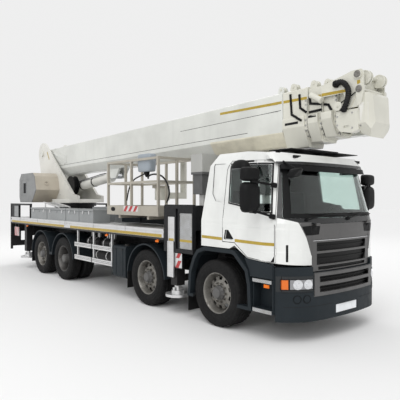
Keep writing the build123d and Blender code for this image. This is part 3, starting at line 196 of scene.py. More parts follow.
def set_bump(tree, shader, height, strength, distance):
    """Bump on top of any that the shader has."""
    bump = add(tree, "ShaderNodeBump")
    bump.inputs["Strength"].default_value = strength
    bump.inputs["Distance"].default_value = distance
    tree.links.new(height, bump.inputs["Height"])
    if shader.inputs["Normal"].links:
        tree.links.new(source_of(shader.inputs["Normal"]), bump.inputs["Normal"])
    tree.links.new(bump.outputs["Normal"], shader.inputs["Normal"])


def set_shader(tree, shader, **values):
    """Feed the shader's sockets; an underscore stands for a space."""
    for key, value in values.items():
        feed(tree, shader.inputs[key.replace("_", " ")], value)


# ------------------------------------------------------------------ finishes
ROAD_DIRT, DUST, WORN_PLATE = (0.10, 0.09, 0.08), (0.040, 0.037, 0.034), (0.30, 0.29, 0.27)


def paint(name, colour, rough=0.35, coat=0.4, metallic=0.0, dirt=0.35, dirt_top=1.1, grain=0.0):
    """Sprayed paint: slow tone change, rain streaks, and road dirt that thins out upwards."""
    material, tree, shader = new_material(name)
    point = object_point(tree)
    tone = remap(tree, noise(tree, point, 1.7, 3.0), 0.35, 0.7)
    base = blend_colour(tree, tone, colour, shade(colour, 0.86))
    streak = noise(tree, object_point(tree, (9.0, 9.0, 0.7)), 1.0, 5.0)
    base = blend_colour(tree, remap(tree, streak, 0.56, 0.82, 0.0, 0.34), base, shade(colour, 0.72))
    height = remap(tree, parts(tree, point)["Z"], 0.25, dirt_top, dirt, 0.0)
    patch = remap(tree, noise(tree, point, 6.0, 6.0, 0.7), 0.3, 0.7, 0.2, 1.3)
    base = blend_colour(tree, multiply(tree, height, patch), base, ROAD_DIRT)
    set_shader(tree, shader, Base_Color=base, Metallic=metallic, Coat_Weight=coat, Coat_Roughness=0.12,
               Roughness=remap(tree, noise(tree, point, 14.0), 0.3, 0.7, rough * 0.8, rough * 1.25),
               Specular_IOR_Level=0.5 if coat > 0.15 else 0.2)
    set_bump(tree, shader, noise(tree, point, 420.0 if grain else 60.0, 2.0), grain or 0.03, 0.002)
    return material


def metal(name, colour, rough=0.38, brushed=(1.0, 1.0, 1.0), stain=0.35, stain_colour=(0.20, 0.18, 0.16)):
    """Bare or zinc-coated metal with brushing along one axis and dull stains."""
    material, tree, shader = new_material(name)
    brush = noise(tree, object_point(tree, brushed), 40.0, 3.0)
    base = blend_colour(tree, remap(tree, brush, 0.35, 0.65), colour, shade(colour, 0.93))
    spots = remap(tree, noise(tree, object_point(tree), 5.0, 6.0, 0.7), 0.5, 0.75, 0.0, stain)
    set_shader(tree, shader, Base_Color=blend_colour(tree, spots, base, stain_colour), Metallic=0.9,
               Roughness=remap(tree, brush, 0.3, 0.7, rough * 0.75, rough * 1.3))
    set_bump(tree, shader, brush, 0.08, 0.001)
    return material


def lattice(tree, first, second, low, high):
    """Raised diamonds where two sine waves of whole turns meet."""
    waves = [maths(tree, "SINE", multiply(tree, value, 2 * pi)) for value in (first, second)]
    return remap(tree, multiply(tree, *waves), low, high)


def chequer(name, colour, pitch=0.032):
    """Raised-bar tread plate for upright faces."""
    material, tree, shader = new_material(name)
    place = parts(tree, object_point(tree, (1 / pitch, 1 / pitch, 1 / pitch)))
    raised = lattice(tree, maths(tree, "ADD", place["X"], place["Y"]), place["Z"], 0.25, 0.55)
    worn = remap(tree, noise(tree, object_point(tree), 7.0, 5.0), 0.35, 0.7, 0.0, 0.5)
    base = blend_colour(tree, worn, blend_colour(tree, raised, shade(colour, 0.72), colour), WORN_PLATE)
    set_shader(tree, shader, Base_Color=base, Metallic=0.85, Roughness=remap(tree, raised, 0.0, 1.0, 0.5, 0.28))
    set_bump(tree, shader, raised, 0.6, 0.002)
    return material


def tread_floor(name, source, pitch=0.060):
    """Copy of a metal with raised bars and scuffs on its level faces."""
    tree, shader = copied(name, source)
    place = parts(tree, object_point(tree, (1 / pitch, 1 / pitch, 1.0)))
    raised = lattice(tree, place["X"], place["Y"], 0.20, 0.50)
    facing = parts(tree, add(tree, "ShaderNodeTexCoord").outputs["Normal"])
    level = remap(tree, facing["Z"], 0.8, 0.9)
    pattern = multiply(tree, raised, level)
    scuffs = remap(tree, noise(tree, object_point(tree, (0.6, 2.5, 1.0)), 3.0, 6.0, 0.65), 0.42, 0.68)
    worn = blend_colour(tree, multiply(tree, scuffs, multiply(tree, level, 0.45)),
                        source_of(shader.inputs["Base Color"]), (0.16, 0.155, 0.15))
    bright = blend_colour(tree, multiply(tree, pattern, 0.5), worn, (0.80, 0.80, 0.80))
    set_shader(tree, shader, Base_Color=bright)
    set_bump(tree, shader, pattern, 0.7, 0.002)


def rubber(name, colour=(0.009, 0.009, 0.0095), rough=0.72, dust=0.3):
    """Rubber with dry grime and a fine grain."""
    material, tree, shader = new_material(name)
    point = object_point(tree)
    grime = remap(tree, noise(tree, point, 9.0, 6.0, 0.7), 0.4, 0.75, 0.0, dust)
    set_shader(tree, shader, Base_Color=blend_colour(tree, grime, colour, DUST), Specular_IOR_Level=0.22,
               Roughness=remap(tree, noise(tree, point, 30.0), 0.3, 0.7, rough * 0.85, min(1.0, rough * 1.15)))
    set_bump(tree, shader, noise(tree, point, 180.0, 3.0), 0.25, 0.002)
    return material


def plastic(name, colour, rough=0.5, grain=0.2):
    """Moulded plastic with a fine leathered grain and faded high spots."""
    material, tree, shader = new_material(name)
    point = object_point(tree)
    fade = remap(tree, noise(tree, point, 3.0, 5.0), 0.4, 0.75, 0.0, 0.6)
    base = blend_colour(tree, fade, colour, tuple(c * 1.3 + 0.002 for c in colour))
    set_shader(tree, shader, Base_Color=base, Specular_IOR_Level=0.16,
               Roughness=remap(tree, noise(tree, point, 12.0), 0.3, 0.7, rough * 0.85, rough * 1.15))
    set_bump(tree, shader, noise(tree, point, 520.0, 2.0), grain, 0.001)
    return material


def glass(name, colour, rough=0.02):
    """Clear glass with a thin film of dust."""
    material, tree, shader = new_material(name)
    film = noise(tree, object_point(tree), 4.0, 4.0)
    tint = blend_colour(tree, remap(tree, film, 0.4, 0.7, 0.0, 0.25), colour, shade(colour, 0.85))
    set_shader(tree, shader, Base_Color=tint, Roughness=remap(tree, film, 0.3, 0.8, rough, rough + 0.06),
               Transmission_Weight=1.0, IOR=1.45)
    return material


def tape(name, colour):
    """Retro-reflective tape with its fine honeycomb."""
    material, tree, shader = new_material(name)
    cells = add(tree, "ShaderNodeTexVoronoi")
    cells.inputs["Scale"].default_value = 160.0
    tree.links.new(object_point(tree), cells.inputs["Vector"])
    wear = remap(tree, noise(tree, object_point(tree), 8.0, 6.0, 0.7), 0.45, 0.75, 0.0, 0.55)
    base = blend_colour(tree, remap(tree, cells.outputs["Distance"], 0.1, 0.6), colour, shade(colour, 0.7))
    base = blend_colour(tree, wear, base, shade(colour, 0.45))
    set_shader(tree, shader, Base_Color=base, Roughness=0.35, Coat_Weight=0.25)
    set_bump(tree, shader, cells.outputs["Distance"], 0.1, 0.0005)
    return material


GRILLE_GREY = (0.135, 0.133, 0.132)
M = {
    "boom": paint("boom_paint", (0.69, 0.70, 0.66), dirt=0.0),
    "cream": paint("cream_paint", (0.68, 0.67, 0.59), dirt=0.0),
    "turret": paint("turret_paint", (0.74, 0.73, 0.68), dirt=0.0),
    "cab": paint("cab_paint", (0.78, 0.79, 0.77), rough=0.22, coat=0.9, dirt=0.1, dirt_top=1.3),
    "grille": paint("grille_paint", GRILLE_GREY, rough=0.34, coat=0.0, metallic=0.75, dirt=0.1),
    "slate": plastic("bumper_slate", (0.015, 0.020, 0.024)),
    "black": plastic("black_plastic", (0.005, 0.0052, 0.0056)),
    "steel": paint("chassis_paint", (0.010, 0.0105, 0.012), rough=0.5, coat=0.1, dirt=0.22, dirt_top=1.4),
    "iron": paint("axle_iron", (0.022, 0.021, 0.020), rough=0.65, coat=0.0, dirt=0.4, dirt_top=1.4, grain=0.25),
    "alu": metal("aluminium_profile", (0.74, 0.74, 0.74), rough=0.42, brushed=(0.05, 3.0, 3.0), stain=0.2),
    "cage": paint("cage_aluminium", (0.46, 0.43, 0.37), rough=0.5, coat=0.0, metallic=0.35, dirt=0.0),
    "plate": chequer("tread_plate", (0.62, 0.63, 0.64)),
    "locker": paint("locker_grey", (0.25, 0.262, 0.265), rough=0.4, coat=0.2, dirt=0.2, dirt_top=1.6),
    "cabinet": paint("cabinet_beige", (0.50, 0.45, 0.37), rough=0.4, coat=0.2, dirt=0.1),
    "post_light": paint("post_light_grey", (0.42, 0.42, 0.40), rough=0.45, coat=0.1, dirt=0.0),
    "console": paint("console_grey", (0.30, 0.34, 0.38), rough=0.4, coat=0.2, dirt=0.0),
    "rim": metal("rim_steel", (0.27, 0.26, 0.24), rough=0.5, stain=0.9, stain_colour=(0.06, 0.05, 0.04)),
    "rim_dark": metal("rim_dark_steel", (0.15, 0.145, 0.14), rough=0.5, stain=0.8, stain_colour=(0.05, 0.045, 0.04)),
    "hub": paint("hub_cap", (0.12, 0.12, 0.12), rough=0.45, coat=0.1, dirt=0.4),
    "chrome": metal("polished_rod", (0.75, 0.76, 0.78), rough=0.14, stain=0.1),
    "tyre": rubber("tyre_rubber", (0.006, 0.006, 0.0063), dust=0.16),
    "hose": rubber("hose_rubber", rough=0.5, dust=0.15),
    "glass": glass("cab_glass", (0.76, 0.88, 0.84)),
    "orange": plastic("orange_lens", (0.75, 0.16, 0.01), 0.22, 0.02),
    "mirror": metal("mirror_glass", (0.55, 0.57, 0.6), rough=0.05, stain=0.1),
    "seat": plastic("seat_cloth", (0.012, 0.012, 0.014), 0.9, 0.5),
    "yellow": tape("yellow_tape", (0.55, 0.38, 0.030)),
    "red_tape": tape("red_tape", (0.55, 0.02, 0.02)),
    "white_tape": tape("white_tape", (0.80, 0.80, 0.80)),
    "bolt": metal("zinc_bolt", (0.50, 0.50, 0.49), rough=0.4, stain=0.5),
    "reflector": metal("lamp_reflector", (0.72, 0.73, 0.74), rough=0.16, stain=0.15),
    # painted shade: near-black finish laid where gaps, grooves, creases, slots and holes fall into shade
    "shadow": plastic("gap_shade", (0.015, 0.015, 0.016), 0.7, 0.02),
    "blank": plastic("blank_plate", (0.78, 0.80, 0.82), 0.3, 0.02),
}

# ------------------------------------------------------------------ finishes that change along a node
FLAT_BLACK, LAMP_BLACK, CAB_LINING = (0.003, 0.003, 0.003), (0.010, 0.013, 0.015), (0.010, 0.011, 0.012)
LENS_RED, LENS_ORANGE, REFLECTOR = (0.50, 0.01, 0.01), (0.72, 0.15, 0.01), (0.34, 0.34, 0.35)
SECTION_CREAM, POST_GREY, POST_WHITE = (0.73, 0.69, 0.56), (0.12, 0.12, 0.12), (0.62, 0.62, 0.60)
DECK_EDGE, PANEL_GREY, HATCH_BLACK = (0.022, 0.022, 0.023), (0.24, 0.245, 0.245), (0.02, 0.02, 0.021)


def inside(tree, point, low, high):
    """1 inside a box given in the truck's own coordinates, 0 outside."""
    place = parts(tree, point)
    mask = None
    for axis, start, end in zip("XYZ", at(*low), at(*high)):
        value = maths(tree, "ABSOLUTE", place["Y"]) if axis == "Y" else place[axis]
        for operation, limit in (("GREATER_THAN", start), ("LESS_THAN", end)):
            test = maths(tree, operation, value, limit)
            mask = test if mask is None else multiply(tree, mask, test)
    return mask


def zoned(name, source, *zones):
    """Copy of a finish with boxes of another look.

    Each zone is low corner, high corner, colour, metallic and roughness; Y limits are distances from the middle.
    """
    tree, shader = copied(name, source)
    point = object_point(tree)
    for low, high, colour, metallic, rough in zones:
        mask = inside(tree, point, low, high)
        grime = remap(tree, noise(tree, point, 5.0, 5.0), 0.35, 0.7)
        fresh = blend_colour(tree, grime, colour, shade(colour, 0.8))
        base = blend_colour(tree, mask, source_of(shader.inputs["Base Color"]), fresh)
        set_shader(tree, shader, Base_Color=base)
        for key, value in (("Metallic", metallic), ("Roughness", rough), ("Coat Weight", 0.0)):
            socket = shader.inputs[key]
            feed(tree, socket, blend_value(tree, mask, source_of(socket), value))


def screen_surround(tree, point):
    """Black posts and cowl about the windscreen; their lower edge rises towards the doors."""
    place = parts(tree, point)
    line = maths(tree, "MULTIPLY_ADD", maths(tree, "ABSOLUTE", place["Y"]), -0.31, place["Z"])
    level = multiply(tree, maths(tree, "GREATER_THAN", line, 1.368), maths(tree, "LESS_THAN", place["Z"], 2.500))
    return multiply(tree, level, maths(tree, "GREATER_THAN", place["X"], FRONT_AXLE + 1.090))


def lined(name, source, centre, surround=None):
    """Copy of a finish whose faces that look towards the centre are trimmed in dark cloth."""
    tree, shader = copied(name, source)
    coordinate = add(tree, "ShaderNodeTexCoord")
    away = add(tree, "ShaderNodeVectorMath", operation="SUBTRACT")
    away.inputs[1].default_value = centre
    facing = add(tree, "ShaderNodeVectorMath", operation="DOT_PRODUCT")
    tree.links.new(coordinate.outputs["Object"], away.inputs[0])
    tree.links.new(away.outputs[0], facing.inputs[0])
    tree.links.new(coordinate.outputs["Normal"], facing.inputs[1])
    mask = maths(tree, "LESS_THAN", facing.outputs["Value"], 0.0)
    if surround:
        mask = maths(tree, "MAXIMUM", mask, surround(tree, coordinate.outputs["Object"]))
    weave = remap(tree, noise(tree, coordinate.outputs["Object"], 30.0), 0.3, 0.7)
    cloth = blend_colour(tree, weave, CAB_LINING, shade(CAB_LINING, 0.7))
    set_shader(tree, shader, Base_Color=blend_colour(tree, mask, source_of(shader.inputs["Base Color"]), cloth),
               Coat_Weight=blend_value(tree, mask, source_of(shader.inputs["Coat Weight"]), 0.0))


def crease(name, lines):
    """Soft pressed steps in a painted skin.

    Each line is its height at the front axle, fall per metre, width and depth.
    """
    tree = M[name].node_tree
    shader = tree.nodes["Principled BSDF"]
    place = parts(tree, object_point(tree))
    for height, fall, width, depth in lines:
        level = maths(tree, "MULTIPLY_ADD", place["X"], fall, place["Z"])
        start = height + fall * FRONT_AXLE
        step = remap(tree, level, start - width / 2, start + width / 2, 1.0, 0.0)
        step.node.interpolation_type = "SMOOTHSTEP"
        set_bump(tree, shader, step, 1.0, depth)


CREW = at(0.55, 0.0, 1.95)
MOUTH, GRILLE_HALF = 0.625, 0.72              # half widths of the grille's mouths and of its frame
LAMP_Z, TAIL_Z = (0.745, 0.878), (0.604, 0.676)
crease("cab", ((1.895, 0.085, 0.060, 0.016), (1.590, 0.020, 0.035, 0.009), (1.250, 0.0, 0.030, 0.006)))
lined("door_lined", "cab", CREW)
lined("cab_lined", "cab", CREW, screen_surround)
LID_MOUTHS = ((1.250, 1.372, MOUTH), (1.062, 1.218, MOUTH), (0.992, 1.036, MOUTH - 0.03))
BUMPER_MOUTHS = ((0.828, 0.912), (0.690, 0.780))
zoned("front_lid_paint", "grille",
      *(((1.3, 0.0, low), (1.6, half, high), FLAT_BLACK, 0.0, 0.5) for low, high, half in LID_MOUTHS))
zoned("bumper_paint", "slate", ((1.2, 0.0, 0.636), (1.7, GRILLE_HALF + 0.004, 0.965), GRILLE_GREY, 0.6, 0.34),
      *(((1.2, 0.0, low), (1.7, MOUTH, high), FLAT_BLACK, 0.0, 0.5) for low, high in BUMPER_MOUTHS))
zoned("lamp_paint", "reflector", ((1.0, 0.0, 0.60), (1.8, 1.3, 1.00), LAMP_BLACK, 0.0, 0.5),
      ((1.1, 0.706, LAMP_Z[0]), (1.8, 1.034, LAMP_Z[1]), REFLECTOR, 0.85, 0.22),
      ((1.1, 1.046, LAMP_Z[0]), (1.8, 1.118, LAMP_Z[1]), LENS_ORANGE, 0.0, 0.15),
      ((-10.0, 0.0, 0.3), (-9.0, 1.3, 1.0), LAMP_BLACK, 0.0, 0.5),
      ((-10.0, 0.985, TAIL_Z[0]), (-9.0, 1.150, TAIL_Z[1]), LENS_RED, 0.0, 0.2),
      ((-10.0, 0.905, TAIL_Z[0]), (-9.0, 0.975, TAIL_Z[1]), LENS_RED, 0.0, 0.2),
      ((-10.0, 0.810, TAIL_Z[0]), (-9.0, 0.895, TAIL_Z[1]), LENS_ORANGE, 0.0, 0.15))
zoned("boom_base_paint", "boom", ((-1.16, 0.0, 2.5), (0.70, 0.5, 3.03), SECTION_CREAM, 0.0, 0.35))
zoned("post_paint", "post_light", ((-0.95, 0.5, 2.05), (-0.3, 1.3, 2.44), POST_GREY, 0.0, 0.45),
      ((-0.95, 0.5, 1.7), (-0.3, 1.3, 2.05), POST_WHITE, 0.0, 0.45))
tread_floor("deck_tread", "alu")
zoned("deck_paint", "deck_tread", ((-10.0, 0.9, 1.0), (-1.2, 1.3, 1.296), DECK_EDGE, 0.1, 0.5))
zoned("cabinet_panelled", "cabinet", ((-9.2, 1.086, 1.8), (-7.4, 1.3, 2.9), PANEL_GREY, 0.0, 0.45))
zoned("trim_paint", "black", ((0.5, 0.0, 2.68), (1.3, 1.0, 2.72), HATCH_BLACK, 0.2, 0.6))

NODE_FINISH = {
    "chassis_frame": "steel", "axles": "iron", "engine_block": "iron", "cab_shell": "cab_lined",
    "windscreen": "glass", "cab_interior": "seat", "front_panel": "front_lid_paint", "sun_visor": "trim_paint",
    "bumper": "bumper_paint", "lamps": "lamp_paint", "mudguards": "slate", "deck": "deck_paint",
    "slew_base": "steel", "deck_boxes": "locker", "side_tanks": "slate", "side_guards": "alu",
    "rear_rack": "steel", "outrigger_boxes": "steel", "boom_rest": "post_paint", "turret": "turret",
    "turret_cabinet": "cabinet_panelled", "hose_drum": "black", "lift_barrel": "turret", "lift_rod": "chrome",
    "boom_base": "boom_base_paint", "boom_head": "cream", "jib": "boom", "cage_mount": "cream", "cage": "cage",
    "cage_console": "console", "boom_section": "cream", "door_glass": "glass", "door": "door_lined",
    "mirrors": "black", "knuckle": "iron", "outrigger": "steel", "jack": "alu", "wheel": "tyre",
}
for node_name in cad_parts:
    matches = [key for key in NODE_FINISH if node_name == key or node_name.startswith(key + "_")]
    cad_data = bpy.data.objects[node_name].data
    cad_data.materials.clear()
    cad_data.materials.append(M[NODE_FINISH[max(matches, key=len)]])

# ------------------------------------------------------------------ piece builder
RAY_START, RAY_REACH = 1.5, 4.0               # a ray towards a place: how far before it starts, and its length
SEATED = 0.001                                # depth of a bolt's washer in the skin that carries it


class Skins(dict):
    """Ray-casting trees of the CAD nodes' meshes, each made when first asked for."""

    def __missing__(self, node):
        data = bpy.data.objects[node].data
        polygons = [polygon.vertices for polygon in data.polygons]
        self[node] = BVHTree.FromPolygons([vertex.co for vertex in data.vertices], polygons)
        return self[node]


SKINS = Skins()


def skin_point(nodes, place, toward):
    """Point where a ray towards the place meets the nodes' skins, or the nearest one, with its outward normal."""
    nodes = [nodes] if isinstance(nodes, str) else nodes
    start = place - toward * RAY_START
    hits = [SKINS[node].ray_cast(start, toward, RAY_REACH) for node in nodes]
    hits = [hit for hit in hits if hit[0] is not None] or [SKINS[node].find_nearest(place) for node in nodes]
    found, normal, _, _ = min(hits, key=lambda hit: hit[3])
    return found, normal if normal.dot(toward) < 0 else -normal


class Piece:
    """One mesh piece, put together from beveled blocks, rods, turned rings, prisms and draped patches."""

    def __init__(self, name, finish, body, bevel=0.0, smooth=40.0):
        self.name, self.finish, self.body, self.bevel, self.smooth = name, finish, body, bevel, smooth
        self.mesh = bmesh.new()

    def faces(self, points, polygons):
        """New vertices at points, joined by polygons of their indices."""
        corners = [self.mesh.verts.new(point) for point in points]
        for polygon in polygons:
            self.mesh.faces.new([corners[index] for index in polygon])
        return self

    def box(self, low, high):
        """Block between two corners, given in any order."""
        x, y, z = [sorted(pair) for pair in zip(low, high)]
        points = [Vector((x[i], y[j], z[k])) for i in (0, 1) for j in (0, 1) for k in (0, 1)]
        return self.faces(points, [(0, 1, 3, 2), (4, 6, 7, 5), (0, 4, 5, 1), (2, 3, 7, 6), (0, 2, 6, 4), (1, 5, 7, 3)])

    def prism(self, outline, run):
        """Outline of 3-D points pulled along the vector run."""
        count = len(outline)
        points = outline + [point + run for point in outline]
        sides = [(i, (i + 1) % count, (i + 1) % count + count, i + count) for i in range(count)]
        return self.faces(points, [tuple(reversed(range(count))), tuple(range(count, 2 * count))] + sides)

    def hull(self, rows, capped=True):
        """Quads between closed rows of vertices, with a cap on the first and the last row."""
        for low, high in zip(rows, rows[1:]):
            for k in range(len(low)):
                n = (k + 1) % len(low)
                self.mesh.faces.new((low[k], low[n], high[n], high[k]))
        if capped:
            self.mesh.faces.new(list(reversed(rows[0])))
            self.mesh.faces.new(rows[-1])
        return self

    def turn(self, profile, centre, axis, segments=32, closed=False):
        """Profile of (radius, distance along the axis) pairs turned about the axis."""
        axis = Vector(axis).normalized()
        first = axis.orthogonal().normalized()
        second = axis.cross(first)
        angles = [2 * pi * k / segments for k in range(segments)]
        rows = []
        for radius, along in profile:
            hub = Vector(centre) + axis * along
            rows.append([self.mesh.verts.new(hub + first * radius * cos(angle) + second * radius * sin(angle))
                         for angle in angles])
        return self.hull(rows + rows[:1] if closed else rows, not closed)

    def loft(self, rings):
        """Skin over rings of equal length, closed at both ends."""
        return self.hull([[self.mesh.verts.new(point) for point in ring] for ring in rings])

    def rod(self, start, end, radius, segments=16):
        """Round bar between two places."""
        run = end - start
        return self.turn([(radius, 0.0), (radius, run.length)], start, run, segments)

    def bolt(self, place, axis, radius=0.012, height=0.010):
        """Hexagon head on a washer."""
        self.turn([(radius * 1.45, 0.0), (radius * 1.45, height * 0.25)], place, axis, 16)
        axis = Vector(axis).normalized()
        return self.turn([(radius, 0.0), (radius * 0.92, height)], place + axis * height * 0.25, axis, 6)

    def patch(self, nodes, corners, toward, across=8, along=2, proud=0.002, depth=0.0015):
        """Four-cornered patch laid on CAD nodes, seen from outside along the direction toward."""
        outer, inner = [], []
        for j in range(along + 1):
            for i in range(across + 1):
                low = corners[0].lerp(corners[1], i / across)
                high = corners[3].lerp(corners[2], i / across)
                place, normal = skin_point(nodes, low.lerp(high, j / along), toward)
                outer.append(self.mesh.verts.new(place + normal * proud))
                inner.append(self.mesh.verts.new(place - normal * depth))
        row = across + 1
        for j in range(along):
            for a in range(j * row, j * row + across):
                b = a + 1
                self.mesh.faces.new((outer[a], outer[b], outer[b + row], outer[a + row]))
                self.mesh.faces.new((inner[a], inner[a + row], inner[b + row], inner[b]))
        rim = list(range(row)) + [j * row + across for j in range(1, along + 1)]
        rim += [along * row + i for i in range(across - 1, -1, -1)] + [j * row for j in range(along - 1, 0, -1)]
        for a, b in zip(rim, rim[1:] + rim[:1]):
            self.mesh.faces.new((outer[a], inner[a], inner[b], outer[b]))
        return self

    def done(self, *replaced, slot=None):
        """Finished object, riding on its body, in the stead of any CAD nodes named."""
        bmesh.ops.recalc_face_normals(self.mesh, faces=self.mesh.faces)
        data = bpy.data.meshes.new(self.name)
        self.mesh.to_mesh(data)
        self.mesh.free()
        piece = bpy.data.objects.new(self.name, data)
        bpy.context.scene.collection.objects.link(piece)
        data.materials.append(M[self.finish])
        if self.bevel:
            modifier = piece.modifiers.new("edge", "BEVEL")
            modifier.width = self.bevel
            modifier.segments = 2
            modifier.limit_method = "ANGLE"
            modifier.angle_limit = radians(35.0)
        for polygon in data.polygons:
            polygon.use_smooth = True
        data.set_sharp_from_angle(angle=radians(self.smooth))
        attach(piece, self.body)
        if replaced:
            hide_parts(*replaced)
        return piece


def side_quad(side, corners, out=SIDE_Y):
    """Places on a lengthways plane on one side, from (x, z) corners."""
    return [at(x, side * out, z) for x, z in corners]


def front_quad(side, corners, x=FRONT_X):
    """Places on a crossways plane, from (y, z) corners with y counted outwards on one side."""
    return [at(x, side * y, z) for y, z in corners]


def rect(u0, u1, v0, v1):
    """Corners of a level rectangle, as pairs."""
    return [(u0, v0), (u1, v0), (u1, v1), (u0, v1)]


def laid(name, finish, body, nodes, quads, toward, across=1, along=1, proud=0.002, depth=0.0015):
    """Piece of patches laid on CAD nodes."""
    piece = Piece(name, finish, body)
    for quad in quads:
        piece.patch(nodes, quad, toward, across, along, proud, depth)
    return piece.done()


def side_laid(name, finish, body, nodes, side, quads, *shape, out=SIDE_Y):
    """Patches of (x, z) corners laid from one side; shape is across, along, proud and depth."""
    return laid(name, finish, body, nodes, [side_quad(side, quad, out) for quad in quads], INWARD[side], *shape)


def front_laid(name, finish, body, nodes, side, quads, *shape, x=FRONT_X):
    """Patches of (y, z) corners laid from the front; shape is across, along, proud and depth."""
    return laid(name, finish, body, nodes, [front_quad(side, quad, x) for quad in quads], BACK, *shape)


def boxes(name, finish, body, side, rows, bevel=0.0):
    """Piece of boxes, each from its limits in x, y and z, with y counted outwards on one side."""
    piece = Piece(name, finish, body, bevel)
    for x0, x1, y0, y1, z0, z1 in rows:
        piece.box(at(x0, side * y0, z0), at(x1, side * y1, z1))
    return piece


def boom_bolts(name, body, node, side, places, radius, height):
    """Bolts on a boom node's side at places of x and z."""
    piece = Piece(name, "bolt", body)
    for x, z in places:
        place, normal = skin_point(node, at(x, side * BOOM_Y, z), INWARD[side])
        piece.bolt(place - normal * SEATED, normal, radius, height)
    return piece.done()


def tube(name, finish, body, points, radius, ribs=0.0):
    """Hose through points, as a smooth curve with a round section; ribs makes it corrugated."""
    data = bpy.data.curves.new(name, "CURVE")
    data.dimensions = "3D"
    data.resolution_u = 10
    data.bevel_depth = 0.0 if ribs else radius
    data.bevel_resolution = 4
    data.use_fill_caps = True
    spline = data.splines.new("NURBS")
    spline.points.add(len(points) - 1)
    for point, place in zip(spline.points, points):
        point.co = (*place, 1.0)
    spline.order_u = 3
    spline.use_endpoint_u = True
    data.materials.append(M[finish])
    curve = bpy.data.objects.new(name, data)
    bpy.context.scene.collection.objects.link(curve)
    if ribs:
        path = [vertex.co.copy() for vertex in bpy.data.meshes.new_from_object(curve).vertices]
        bpy.data.objects.remove(curve)
        ribbed(Piece(name, finish, body), path, radius, ribs)
    else:
        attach(curve, body)


def ribbed(piece, path, radius, pitch):
    """Corrugated hose along a path: rings of full and of reduced radius in turn."""
    lengths = [0.0]
    for a, b in zip(path, path[1:]):
        lengths.append(lengths[-1] + (b - a).length)
    count = int(lengths[-1] / pitch) * 2
    rings = []
    for k in range(count + 1):
        s = lengths[-1] * k / count
        n = max(i for i in range(len(path) - 1) if lengths[i] <= s + 1e-9)
        place = path[n].lerp(path[n + 1], (s - lengths[n]) / (lengths[n + 1] - lengths[n]))
        axis = (path[n + 1] - path[n]).normalized()
        side = axis.cross(INWARD[RIGHT]).normalized()
        up = side.cross(axis)
        r = radius if k % 2 else radius * 0.84
        rings.append([place + side * r * cos(pi * j / 6) + up * r * sin(pi * j / 6) for j in range(12)])
    piece.loft(rings).done()


def band(points, out_from, out_to):
    """Quads along a closed outline, between two distances outside it."""
    count = len(points)
    corners = [Vector(point) for point in points]
    turned = sum(a[0] * b[1] - b[0] * a[1] for a, b in zip(points, points[1:] + points[:1]))
    outward = 1.0 if turned < 0 else -1.0

    def pushed(distance):
        result = []
        for i, corner in enumerate(corners):
            first, second = (corner - corners[i - 1]).normalized(), (corners[(i + 1) % count] - corner).normalized()
            normal, cosine = mitre(first, second, 0.35)
            result.append(corner + normal * outward * distance / cosine)
        return result
    low, high = pushed(out_from), pushed(out_to)
    return [(low[i], low[(i + 1) % count], high[(i + 1) % count], high[i]) for i in range(count)]


def mitre(first, second, least):
    """Normal of the joint of two edge directions, and its cosine to the first edge's own normal."""
    own = Vector((-first.y, first.x))
    normal = (own + Vector((-second.y, second.x))).normalized()
    return normal, max(least, normal.dot(own))


def line_band(points, half):
    """Quads with mitred joints along an open line of (x, z) points."""
    points = [Vector(point) for point in points]
    steps = [(b - a).normalized() for a, b in zip(points, points[1:])]
    edges = []
    for point, before, after in zip(points, steps[:1] + steps, steps + steps[-1:]):
        normal, cosine = mitre(before, after, 0.4)
        reach = half / cosine
        edges.append((point - normal * reach, point + normal * reach))
    return [(a[0], b[0], b[1], a[1]) for a, b in zip(edges, edges[1:])]


def oval(centre, first, second, power=4.0, count=28):
    """Rounded oblong through a centre; a higher power makes squarer corners."""
    ring = []
    for k in range(count):
        c, s = cos(2 * pi * k / count), sin(2 * pi * k / count)
        scale = (abs(c) ** power + abs(s) ** power) ** (-1.0 / power)
        ring.append(centre + Vector(first) * c * scale + Vector(second) * s * scale)
    return ring


# ------------------------------------------------------------------ wheels
SINGLE, TWIN, TWIN_GAP = 0.375, 0.285, 0.060  # tyre widths and the gap of a twin pair
TWIN_AXLE = 2                                 # number of the axle with twin tyres, from 0
DISHES = (0.070, 0.070, 0.200, 0.062)         # depth of each axle's disc inside the tyre's face
HOLES = (10, 10, 8, 10)                       # hand holes in each axle's disc
TYRE_STEPS = 120
NUTS, NUT_CIRCLE, LIP = 10, 0.1465, 0.040


def tyre_profile(width):
    """Section of a road tyre from one bead to the other, as radius and distance from its outer face."""
    shoulder = 0.11 * width
    outer = [(0.302, 0.058), (0.309, 0.040), (0.330, 0.022), (0.372, 0.007), (0.405, 0.0005), (0.416, 0.004),
             (0.424, 0.001), (0.455, 0.004), (0.462, 0.009), (0.482, 0.012), (0.497, 0.016), (0.512, shoulder * 0.8),
             (0.518, shoulder)]
    ribs = 5
    tread, land = [], (width - 2 * shoulder) / ribs
    for rib in range(ribs - 1):
        edge = shoulder + land * (rib + 1)
        tread += [(0.520, edge - 0.006), (0.507, edge - 0.003), (0.507, edge + 0.003), (0.520, edge + 0.006)]
    return outer + tread + [(radius, width - along) for radius, along in reversed(outer)]


